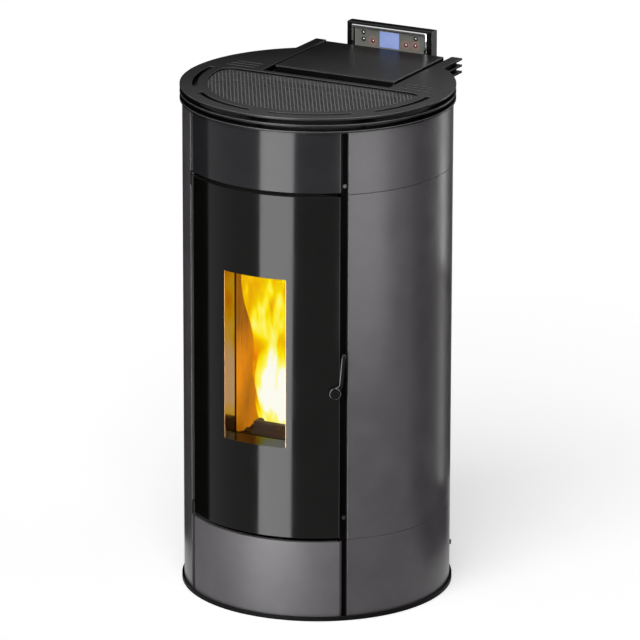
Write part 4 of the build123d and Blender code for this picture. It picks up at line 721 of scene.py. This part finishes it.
MESH_GREY = PaintFinish(
    "mesh_dark_grey", (0.14, 0.14, 0.14), 0.42, specular=0.2, wear_and_highlight=0.6, wear_and_highlight_colour=(0.35, 0.35, 0.35),
    edge_radius=0.0004,
)
FRAME_BLACK = PaintFinish("frame_matt_black", (0.004, 0.004, 0.004), 0.5, specular=0.15, wear_and_highlight=0.1)
# Near-black with almost no gloss: painted shade for the frame posts deep in the gaps
RECESS_PAINTED_SHADE = PaintFinish(
    "recess_painted_shade", (0.001, 0.001, 0.001), 0.85, specular=0.03, grain_strength=0.3, wear_and_highlight=0.0,
)
CASING_GREY = PaintFinish("casing_grey", (0.05, 0.05, 0.05), 0.5, specular=0.3, grain_strength=0.25)
HANDLE_BLACK = PaintFinish(
    "handle_gloss_black", (0.003, 0.003, 0.003), 0.15, specular=0.12, wear_and_highlight=0.0, edge_radius=0.0012,
    line=1.0, highlight_side=(-0.17, -0.98, 0.1), highlight_width=0.0024,
)
BASE_BLACK = PaintFinish("base_black", (0.002, 0.002, 0.002), 0.6, specular=0.06, wear_and_highlight=0.1)
STOVE_BLACK = PaintFinish("heat_proof_black", (0.018, 0.017, 0.016), 0.65, specular=0.2, grain_strength=0.3)
DOOR_INNER = PaintFinish(
    "door_inner_sooted", (0.006, 0.005, 0.004), 0.6, specular=0.1, grain_strength=0.2, wear_and_highlight=0.0,
)
ZINC = MetalFinish("zinc_sheet", (0.55, 0.55, 0.54), 0.4)
MACHINED = MetalFinish("machined_steel", (0.42, 0.42, 0.42), 0.3, Axis.ROUND)
SCREW_BLACK = MetalFinish("screw_black", (0.035, 0.035, 0.035), 0.35, Axis.ROUND, tarnish=(0.03, 0.03, 0.03))
CHROME = MetalFinish("chrome", (0.82, 0.82, 0.83), 0.09, Axis.ROUND, brush_strength=0.02, tarnish_amount=0.1)
KEY_STEEL = MetalFinish(
    "key_steel", (0.3, 0.3, 0.3), 0.2, Axis.ROUND, brush_strength=0.02, tarnish_amount=0.1,
)
# Both irons carry painted firelight: the liner strongly, the pot, cradle and baffle faintly
LINER = CastFinish("liner_board", (0.07, 0.045, 0.02), soot=0.3, painted_firelight=0.95, firelight_reach=0.16, relief=0.1)
CAST = CastFinish("cast_iron", (0.04, 0.035, 0.03), painted_firelight=0.05)
CAST_COLD = CastFinish("cast_iron_cold", (0.08, 0.078, 0.075), soot=0.2)
BLACK_PLASTIC = PlasticFinish("black_plastic", (0.012, 0.012, 0.012), 0.42)


# ---- Mesh building ----

def put(name: str, data: bpy.types.ID) -> Piece:
    """Makes an object of some data and puts it in the scene."""
    item = bpy.data.objects.new(name, data)
    bpy.context.scene.collection.objects.link(item)
    return item


def hide_from(item: Piece, *rays: str) -> None:
    """Hides an object from rays of the given kinds."""
    for kind in rays:
        setattr(item, f"visible_{kind}", False)


def mesh_piece(name: str, points: np.ndarray, faces: list, material: Material, body: str = "stove") -> Piece:
    """Makes a piece from points and faces, with smooth sides and sharp folds, and fixes it to a body.

    Args:
        name: the piece's name.
        points: rows of x, y and z in metres.
        faces: rows of point numbers.
        material: what it is dressed in.
        body: the body that it moves with.

    Returns:
        The new object.
    """
    mesh = bpy.data.meshes.new(name)
    mesh.from_pydata(points.tolist(), [], faces)
    mesh.validate()
    mesh.polygons.foreach_set("use_smooth", np.ones(len(mesh.polygons), bool))
    mesh.set_sharp_from_angle(angle=FOLD_ANGLE)
    mesh.update()
    mesh.materials.append(material)
    piece = put(name, mesh)
    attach(piece, body)
    return piece


def merge(piece: Piece) -> None:
    """Joins doubled points and turns the faces outwards."""
    work = bmesh.new()
    work.from_mesh(piece.data)
    bmesh.ops.remove_doubles(work, verts=work.verts, dist=DOUBLE)
    bmesh.ops.recalc_face_normals(work, faces=work.faces)
    work.to_mesh(piece.data)
    work.free()
    piece.data.set_sharp_from_angle(angle=FOLD_ANGLE)
    piece.data.update()


def tube_faces(rows: int, columns: int) -> list:
    """Quads of a grid whose columns close round on themselves, with its first and last rows capped."""
    row, column = np.meshgrid(np.arange(rows - 1), np.arange(columns), indexing="ij")
    after = (column + 1) % columns
    first = row * columns
    quads = np.stack([first + column, first + after, first + columns + after, first + columns + column], -1)
    faces = quads.reshape(-1, 4).tolist()
    faces.append(list(range(columns - 1, -1, -1)))
    faces.append(list(range((rows - 1) * columns, rows * columns)))
    return faces


def repeated(faces: list, size: int, count: int) -> list:
    """The faces of one part, repeated for a count of parts with the given number of points each."""
    return [[corner + index * size for corner in face] for index in range(count) for face in faces]


def revolve(profile: np.ndarray, centre: Vector, columns: int) -> tuple[np.ndarray, list]:
    """Turns a profile about a line along Y through a centre.

    A point is the centre, plus the profile's radius times the cosine and sine of the turn along X
    and Z, less the profile's depth along Y.

    Args:
        profile: rows of radius and depth along -Y.
        centre: a point on the axis.
        columns: steps round the axis.

    Returns:
        Points and faces.
    """
    turn = np.linspace(0.0, tau, columns, endpoint=False)
    radius, depth = profile[:, 0, None], profile[:, 1, None]
    x = centre[0] + radius * np.cos(turn)
    z = centre[2] + radius * np.sin(turn)
    y = centre[1] - depth + 0.0 * turn
    return np.stack([x, y, z], -1).reshape(-1, 3), tube_faces(len(profile), columns)


# ---- Sub-assemblies ----

@dataclass
class SubAssembly:
    """A group of frame pieces that are dressed in their finishes."""

    title: str
    finishes: dict[str, Finish] = field(default_factory=dict)

    def dress(self) -> None:
        """Gives each frame piece its finish."""
        made: dict[Finish, Material] = {}
        for node, finish in self.finishes.items():
            if finish not in made:
                made[finish] = finish.material()
            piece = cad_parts[node]
            piece.data.materials.clear()
            piece.data.materials.append(made[finish])
            LOG.info("%s: %s in %s", self.title, node, finish.name)


@dataclass
class TopDeck(SubAssembly):
    """Stacked round plates with their warm-air grille and hopper lid."""

    pitch: float = 0.0058
    bar: float = 0.0014
    stretch: float = 1.75
    sheet: float = 0.0006
    overlap: float = 0.001

    def turned(self, flat: np.ndarray) -> np.ndarray:
        """Turns places by 45 degrees and stretches them from front to back, which makes long diamonds."""
        along, across = flat[..., 0], flat[..., 1]
        return np.stack([along + across, self.stretch * (across - along)], -1) / sqrt(2.0)

    def build_grille(self) -> Piece:
        """Diamond mesh cut to the frame's D shape.

        The lattice is turned and stretched. A cell is kept where all of its corners lie inside the D.
        Each kept cell is a ring of four flat strips, above and below, with four inner walls, and an
        outer wall wherever the next cell is missing. Its points 0 to 3 are the outer corners above,
        4 to 7 the inner ones, and 8 to 15 the same below.
        """
        low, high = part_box("top_grille")
        reach = (high.x - low.x) / 2 + self.overlap
        count = int(2 * reach / self.pitch) + 2
        step = (np.arange(-count, count) + 0.5) * self.pitch
        middle = np.stack(np.meshgrid(step, step, indexing="ij"), -1)[:, :, None, :]
        corner = np.array([(-1, -1), (1, -1), (1, 1), (-1, 1)]) / 2.0
        outer = self.turned(middle + corner * self.pitch)
        inner = self.turned(middle + corner * (self.pitch - self.bar))
        in_round = np.hypot(outer[..., 0], outer[..., 1]).max(-1) < reach
        kept = in_round & (outer[..., 1].max(-1) < high.y + self.overlap)
        cells = np.argwhere(kept)
        number = len(cells)
        rings = np.concatenate([outer[kept], inner[kept]], 1)
        top = np.concatenate([rings, np.full((number, 8, 1), high.z)], -1)
        bottom = np.concatenate([rings, np.full((number, 8, 1), high.z - self.sheet)], -1)
        points = np.concatenate([top, bottom], 1).reshape(-1, 3)
        side = np.arange(4)
        after = (side + 1) % 4
        flat = np.stack([side, after, after + 4, side + 4], -1)
        walls = np.stack([side + 4, after + 4, after + 12, side + 12], -1)
        under = np.stack([side + 8, side + 12, after + 12, after + 8], -1)
        offsets = (16 * np.arange(number))[:, None, None]
        faces = [(np.concatenate([flat, walls, under])[None] + offsets).reshape(-1, 4)]
        padded = np.pad(kept, 1)
        for edge, (di, dj) in enumerate(((0, -1), (1, 0), (0, 1), (-1, 0))):
            open_side = ~padded[cells[:, 0] + 1 + di, cells[:, 1] + 1 + dj]
            quad = np.array([edge + 8, (edge + 1) % 4 + 8, (edge + 1) % 4, edge])
            faces.append(quad[None] + offsets[open_side, 0])
        grille = mesh_piece("grille_mesh", points, np.concatenate(faces).tolist(), MESH_GREY.material())
        merge(grille)
        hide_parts("top_grille")
        return grille


@dataclass
class ControlPanel(SubAssembly):
    """Raised display with its chrome bezel, lit screen and six domed keys."""

    dome: float = 0.0012
    crown_steps: int = 8
    columns: int = 28
    tip_share: float = 0.04

    def build_keys(self) -> None:
        """Domed steel keys: a straight collar, then a quarter ellipse up to the crown."""
        material = KEY_STEEL.material()
        for key in KEYS:
            low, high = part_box(f"button_{key}")
            centre = (low + high) / 2
            radius, length = (high.x - low.x) / 2, high.y - low.y
            bend = np.linspace(0.0, pi / 2, self.crown_steps + 1)[:-1]
            crown = np.stack([radius * np.cos(bend), length - self.dome + self.dome * np.sin(bend)], -1)
            profile = np.concatenate([[[radius, 0.0]], crown, [[radius * self.tip_share, length]]])
            points, faces = revolve(profile, Vector((centre.x, high.y, centre.z)), self.columns)
            piece = mesh_piece(f"key_dome_{key}", points, faces, material, "display")
            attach(piece, f"key_{key}")
            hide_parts(f"button_{key}")
            merge(piece)
            LOG.info("%s: %s", self.title, piece.name)


@dataclass
class Fire:
    """Flames over the burn pot and the pellets that burn in it."""

    across: int = 9
    deep: int = 2
    rows: int = 56
    columns: int = 32
    seed: int = 7
    low_height: float = 0.345
    top_height: float = 0.733
    foot_spread: float = 0.04
    fan: float = 0.052
    half_width: float = 0.103
    front: float = -0.19
    middle: float = -0.12
    back: float = -0.08
    layer_gap: float = 0.03
    jitter: float = 0.006
    heights: Pair = (0.42, 0.5)
    widths: Pair = (0.019, 0.025)
    lick_place: Pair = (-0.043, -0.128)
    lick_low: float = 0.337
    lick_height: float = 0.075
    lick_width: float = 0.006
    lick_lean: float = -0.003
    pellets: int = 170
    pellet_sides: int = 8
    pellet_radius: float = 0.003
    pellet_half_length: float = 0.007
    heap_reach: float = 0.026
    heap_foot: float = 0.336
    heap_rise: float = 0.024
    heap_rim: float = 0.0016       # squared distance from the middle at which the heap has no rise

    def tongue(
        self, phase: np.ndarray, place: Pair, low: float, height: float, width: float, lean: float
    ) -> np.ndarray:
        """One lick of flame.

        The radius swells with the sine of a power of the rise and narrows to the tip. It is fluted by
        two waves round the axis that twist upwards. The axis leans sideways in step with the rise and
        sways in slow waves.

        Args:
            phase: starts of the four waves.
            place: foot of the tongue.
            low: height of its foot.
            height: from foot to tip.
            width: widest radius.
            lean: how far its tip lies to the side of its foot.

        Returns:
            A grid of points, rows upwards and columns round.
        """
        rise = np.linspace(0.0, 1.0, self.rows)[:, None]
        turn = np.linspace(0.0, tau, self.columns, endpoint=False)[None, :]
        swell = np.sin(pi * rise ** 0.6) ** 0.5 * (1.0 - 0.25 * rise) + 0.002
        flutes = 1.0 + 0.16 * np.sin(3 * turn + phase[0] + 8 * rise)
        flutes = flutes + 0.08 * np.sin(7 * turn + phase[1] - 11 * rise)
        radius = width * swell * flutes
        sway = 0.004 * np.sin(9.0 * rise + phase[2]) + 0.003 * np.sin(17.0 * rise + phase[3])
        x = place[0] + lean * rise + sway * rise ** 0.5 + radius * np.cos(turn)
        y = place[1] + 0.7 * sway + 0.8 * radius * np.sin(turn)
        z = low + height * rise + 0.0 * turn
        return np.stack([
            np.clip(x, -self.half_width, self.half_width),
            np.clip(y, self.front, self.back),
            np.clip(z, low, self.top_height),
        ], -1)

    def build_flames(self) -> Piece:
        """A fan of tongues in rows from front to back, and a lick beside the pot, each a closed skin."""
        random = np.random.default_rng(self.seed)
        grids = []
        for layer in range(self.deep):
            for share in np.linspace(-1.0, 1.0, self.across):
                phase = random.uniform(0.0, tau, 4)
                depth = self.middle + self.layer_gap * (layer - 0.5)
                place = (self.foot_spread * share, depth + random.uniform(-self.jitter, self.jitter))
                height, width = random.uniform(*self.heights), random.uniform(*self.widths)
                grids.append(self.tongue(phase, place, self.low_height, height, width, self.fan * share))
        phase = random.uniform(0.0, tau, 4)
        lick = (self.lick_place, self.lick_low, self.lick_height, self.lick_width, self.lick_lean)
        grids.append(self.tongue(phase, *lick))
        faces = repeated(tube_faces(self.rows, self.columns), self.rows * self.columns, len(grids))
        points = np.concatenate([grid.reshape(-1, 3) for grid in grids])
        flames = mesh_piece("flames", points, faces, FlameFinish("flame").material())
        hide_from(flames, "shadow")
        return flames

    def build_pellets(self) -> Piece:
        """A heap of short rods, each turned at random and no higher than the heap's round top."""
        random = np.random.default_rng(self.seed + 1)
        turn = np.linspace(0.0, tau, self.pellet_sides, endpoint=False)
        ring = np.stack([np.cos(turn), np.sin(turn)], -1) * self.pellet_radius
        end = np.full(self.pellet_sides, self.pellet_half_length)
        rod = np.concatenate([np.c_[ring, -end], np.c_[ring, end]])
        axis = random.normal(size=(self.pellets, 3)) * (1.0, 1.0, 0.35)
        axis /= np.linalg.norm(axis, axis=1, keepdims=True)
        side = np.cross(axis, (0.3, 0.2, 0.93))
        side /= np.linalg.norm(side, axis=1, keepdims=True)
        basis = np.stack([side, np.cross(axis, side), axis], 1)
        spot = random.uniform(-1.0, 1.0, (self.pellets, 2)) * self.heap_reach
        dome = 1.0 - (spot ** 2).sum(1) / self.heap_rim
        heap = self.heap_foot + self.heap_rise * random.uniform(0.0, 1.0, self.pellets) * dome
        centre = np.c_[spot[:, 0], spot[:, 1] + self.middle, heap]
        points = (rod[None] @ basis + centre[:, None]).reshape(-1, 3)
        faces = repeated(tube_faces(2, self.pellet_sides), len(rod), self.pellets)
        return mesh_piece("burning_pellets", points, faces, EmberFinish("embers").material())


# ---- Studio ----

def staged(name: str, corners: list, material: Material) -> Piece:
    """One flat four-cornered face of the studio, which isn't part of the stove."""
    mesh = bpy.data.meshes.new(name)
    mesh.from_pydata(corners, [], [[0, 1, 2, 3]])
    mesh.materials.append(material)
    item = put(name, mesh)
    return item


@dataclass(frozen=True)
class Softbox:
    """A tall lamp that faces the stove and only shines on gloss, as a reflection.

    Its azimuth is measured from the front, positive to the right.
    """

    name: str
    azimuth: float
    distance: float
    height: float
    width: float
    tall: float
    radiance: float
    lean: float = 0.0

    def build(self) -> None:
        """Makes the lamp, with its power from its radiance and area."""
        light = bpy.data.lights.new(self.name, "AREA")
        light.shape = "RECTANGLE"
        light.size = self.width
        light.size_y = self.tall
        light.energy = self.radiance * pi * self.width * self.tall
        lamp = put(self.name, light)
        angle = radians(self.azimuth)
        lamp.location = (self.distance * sin(angle), -self.distance * cos(angle), self.height)
        aim = Vector((0.0, 0.0, self.height)) - Vector(lamp.location)
        lean = Quaternion((0.0, 0.0, 1.0), radians(self.lean))
        lamp.rotation_euler = (aim.to_track_quat("-Z", "Y") @ lean).to_euler()
        hide_from(lamp, "camera", "diffuse", "transmission")


@dataclass(frozen=True)
class Flag:
    """An upright black card that only gloss sees, so that a curved side darkens towards its edge."""

    name: str
    azimuth: float
    distance: float
    width: float
    low: float
    facing: float
    top: float = 1.4

    def build(self) -> None:
        """Makes the card, upright, from its low edge to its top.

        Its corners lie half its width to each side of its centre, along the line that is square to
        the azimuth it faces.
        """
        place, turned = radians(self.azimuth), radians(self.facing)
        across = np.array([-1.0, 1.0, 1.0, -1.0]) * self.width / 2
        x = self.distance * sin(place) + across * cos(turned)
        y = -self.distance * cos(place) + across * sin(turned)
        z = np.array([self.low, self.low, self.top, self.top])
        material, bench, shader = new_material(self.name)
        bench.join(shader, Base_Color=(0.01, 0.01, 0.01), Roughness=1.0, Specular_IOR_Level=0.0)
        card = staged(self.name, np.stack([x, y, z], -1).tolist(), material)
        hide_from(card, "camera", "diffuse", "shadow", "transmission")


@dataclass
class Studio:
    """Camera, pale floor, white surroundings, soft lamps and black cards."""

    azimuth: float = 28.095
    elevation: float = 17.351
    distance: float = 11.312
    target_height: float = 0.53416
    target_right: float = 0.005078
    focal_pixels: float = 5727.5
    frame_pixels: float = 640.0
    sensor: float = 36.0
    roll: float = 0.128
    view_depth: float = 200.0
    floor_half: float = 40.0
    floor_drop: float = 0.0005
    floor_glow: float = 0.46
    fill: float = 0.19
    sun_strength: float = 1.65
    sun_width: float = 50.0
    sun_tilt: float = 42.0
    sun_turn: float = 12.0
    fire_power: float = 2.0
    fire_colour: Colour = (1.0, 0.36, 0.02)
    fire_size: float = 0.05
    lamps: tuple[Softbox, ...] = (
        Softbox("front_strip", 0.6, 0.566, 0.58, 0.23, 1.3, 17.0, lean=-1.3),
        Softbox("right_box", 63.0, 1.1, 0.95, 0.76, 1.3, 5.0),
        Softbox("right_rim_strip", 136.0, 0.55, 0.83, 0.08, 0.54, 5.0),
        Softbox("right_low_strip", 136.0, 0.55, 0.28, 0.08, 0.5, 2.2),
    )
    flags: tuple[Flag, ...] = (
        Flag("left_flag", -82.0, 0.56, 0.5, 0.0, -90.0),
        Flag("left_back_flag", -140.0, 0.62, 0.9, 0.03, -140.0, top=1.24),
        Flag("left_low_flag", -95.0, 0.4, 0.35, 0.0, -95.0, top=0.16),
        Flag("right_flag", 113.0, 0.61, 0.3, 0.0, 125.0),
        Flag("right_back_flag", 152.0, 0.65, 0.5, 0.03, 152.0, top=1.24),
        Flag("right_low_flag", 125.0, 0.4, 0.35, 0.0, 125.0, top=0.16),
    )

    def build_camera(self) -> None:
        """Camera on a line from the target at the photograph's azimuth and elevation."""
        az, el = radians(self.azimuth), radians(self.elevation)
        back = Vector((sin(az) * cos(el), -cos(az) * cos(el), sin(el)))
        right = Vector((cos(az), sin(az), 0.0))
        data = bpy.data.cameras.new("camera")
        data.sensor_width = self.sensor
        data.lens = self.focal_pixels / self.frame_pixels * self.sensor
        data.clip_end = self.view_depth
        target = Vector((0.0, 0.0, self.target_height)) + self.target_right * right
        turn = Matrix((right, back.cross(right), back)).transposed()
        turn = turn @ Matrix.Rotation(radians(self.roll), 3, "Z")
        camera = put("camera", data)
        camera.matrix_world = Matrix.Translation(target + self.distance * back) @ turn.to_4x4()
        bpy.context.scene.camera = camera

    def build_floor(self) -> None:
        """One large flat square of pale matt floor."""
        material, bench, shader = new_material("pale_floor")
        shade = bench.effect(EFFECTS.grain, Vector=bench.place(), Scale=60.0)["Shade"]
        bench.join(
            shader,
            Base_Color=bench.mix(shade, (0.93, 0.93, 0.93), (0.95, 0.95, 0.95)),
            Emission_Color=WHITE,
            Emission_Strength=bench.product(bench.seen(), self.floor_glow),
            Roughness=0.9,
            Specular_IOR_Level=0.1,
        )
        half, low = self.floor_half, -self.floor_drop
        sides = ((-half, -half), (half, -half), (half, half), (-half, half))
        staged("floor", [(*side, low) for side in sides], material)

    def build_world(self) -> None:
        """White for what the camera, gloss and glass see, and a softer fill on dull surfaces."""
        world = bpy.data.worlds.new("surroundings")
        world.use_nodes = True
        world.node_tree.nodes.clear()
        bench = Bench(world.node_tree)
        fill, white = (
            bench.join(bench.add("ShaderNodeBackground"), Color=WHITE, Strength=strength).outputs[0]
            for strength in (self.fill, 1.0)
        )
        mixed = bench.run(bench.add("ShaderNodeMixShader"), bench.seen(), fill, white)
        bench.join(bench.add("ShaderNodeOutputWorld"), Surface=mixed.outputs[0])
        bpy.context.scene.world = world

    def build_lamps(self) -> None:
        """A wide sun for soft shadows, the tall boxes, the black cards and the fire's own light."""
        sun = bpy.data.lights.new("key", "SUN")
        sun.energy = self.sun_strength
        sun.angle = radians(self.sun_width)
        put("key", sun).rotation_euler = (radians(self.sun_tilt), 0.0, radians(self.sun_turn))
        for item in self.lamps + self.flags:
            item.build()
            LOG.info("studio: %s", item.name)
        fire = bpy.data.lights.new("fire_light", "POINT")
        fire.energy = self.fire_power
        fire.color = self.fire_colour
        fire.shadow_soft_size = self.fire_size
        put("fire_light", fire).location = FLAME_HEART

    def build(self) -> None:
        """Sets the whole studio."""
        self.build_camera()
        self.build_floor()
        self.build_world()
        self.build_lamps()
        bpy.context.scene.view_settings.view_transform = "Standard"


# ---- The stove's own groups ----

def casing() -> SubAssembly:
    """Panels, frame and base."""
    tiers = ("lower", "middle", "upper")
    panels = [f"side_panel_{side}_{tier}" for side in ("left", "right") for tier in tiers]
    return SubAssembly("casing", {
        **dict.fromkeys(panels, GUNMETAL),
        "front_bottom_panel": PLINTH,
        "front_top_panel": FRONT_DARK,
        "rear_panel": CASING_GREY,
        "base_plate": BASE_BLACK,
        "frame_posts": RECESS_PAINTED_SHADE,
        "partition_panel": STOVE_BLACK,
        "latch_keeper": KEY_STEEL,
        "levelling_feet": ZINC,
        "cover_screws": SCREW_BLACK,
    })


def top_deck() -> TopDeck:
    """Plates, spacers, grille and lid."""
    plates = ("top_plate_upper", "top_plate_middle", "top_plate_lower", "top_spacers")
    return TopDeck("top deck", {
        **dict.fromkeys(plates, TOP_BLACK),
        "hopper_lid": LID_BLACK,
        "lid_hinge": FRAME_BLACK,
    })


def door() -> SubAssembly:
    """Door with its glass, seal, hinges and handle."""
    return SubAssembly("door", {
        "door_front": DOOR_BLACK,
        "door_frame": DOOR_INNER,
        "door_hinges": FRAME_BLACK,
        "door_handle": HANDLE_BLACK,
        "door_glass": GlassFinish("heat_glass"),
        "door_gasket": RopeFinish("rope_seal"),
    })


def fire_side() -> SubAssembly:
    """Firebox with its liner, baffle, pot, cradle, ash pan and igniter."""
    return SubAssembly("fire side", {
        "firebox_liner": LINER,
        **dict.fromkeys(("flame_baffle", "burn_pot", "burn_pot_cradle"), CAST),
        **dict.fromkeys(("firebox", "ash_pan"), STOVE_BLACK),
        "igniter": MACHINED,
    })


def feed_side() -> SubAssembly:
    """Hopper, auger and chute."""
    return SubAssembly("feed side", {
        **dict.fromkeys(("auger_tube", "pellet_chute"), ZINC),
        "hopper": CASING_GREY,
        **dict.fromkeys(("auger_screw", "auger_gearmotor"), MACHINED),
    })


def air_side() -> SubAssembly:
    """Fans, flue spigot, air pipe and electrics."""
    return SubAssembly("air side", {
        **dict.fromkeys(("exhaust_impeller", "exhaust_fan_motor", "room_fan_impeller"), MACHINED),
        **dict.fromkeys(("room_fan_housing", "air_intake_pipe"), ZINC),
        **dict.fromkeys(("power_inlet", "power_switch"), BLACK_PLASTIC),
        "exhaust_fan_housing": CAST_COLD,
        "flue_outlet": STOVE_BLACK,
        "control_board": BoardFinish("board"),
    })


def control_panel() -> ControlPanel:
    """Display case, bezel, screen, guide and keys, with the key field fitted inside the bezel."""
    bezel_low, bezel_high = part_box("display_bezel")
    case_low, case_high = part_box("display_housing")
    inset, face_skin, end_skin = 0.0065, 0.0002, 0.0003
    boxes = [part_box(f"button_{key}") for key in KEYS]
    case = KeypadFinish(
        "display_case",
        case=(0.006, 0.006, 0.006),
        field_colour=(0.25, 0.255, 0.225),
        field_low=(bezel_low.x + inset, bezel_low.z),
        field_high=(bezel_high.x - inset, bezel_high.z - inset),
        field_front=case_low.y + face_skin,
        end=case_high.x - end_skin,
        keys=tuple(((low.x + high.x) / 2, (low.z + high.z) / 2) for low, high in boxes),
        lit_keys=(2, 3, 4),
    )
    return ControlPanel("display", {
        "display_housing": case,
        "display_bezel": CHROME,
        "display_screen": ScreenFinish("lit_screen"),
        "display_guide": FRAME_BLACK,
    })


def main() -> None:
    """Builds and dresses every sub-assembly in turn."""
    logging.basicConfig(level=logging.INFO, format="%(message)s")
    Studio().build()
    for part in (casing(), door(), fire_side(), feed_side(), air_side()):
        part.dress()
    deck = top_deck()
    deck.dress()
    LOG.info("top deck: %s", deck.build_grille().name)
    panel = control_panel()
    panel.dress()
    panel.build_keys()
    fire = Fire()
    LOG.info("fire: %s", fire.build_flames().name)
    LOG.info("fire: %s", fire.build_pellets().name)


if __name__ == "__main__":
    main()
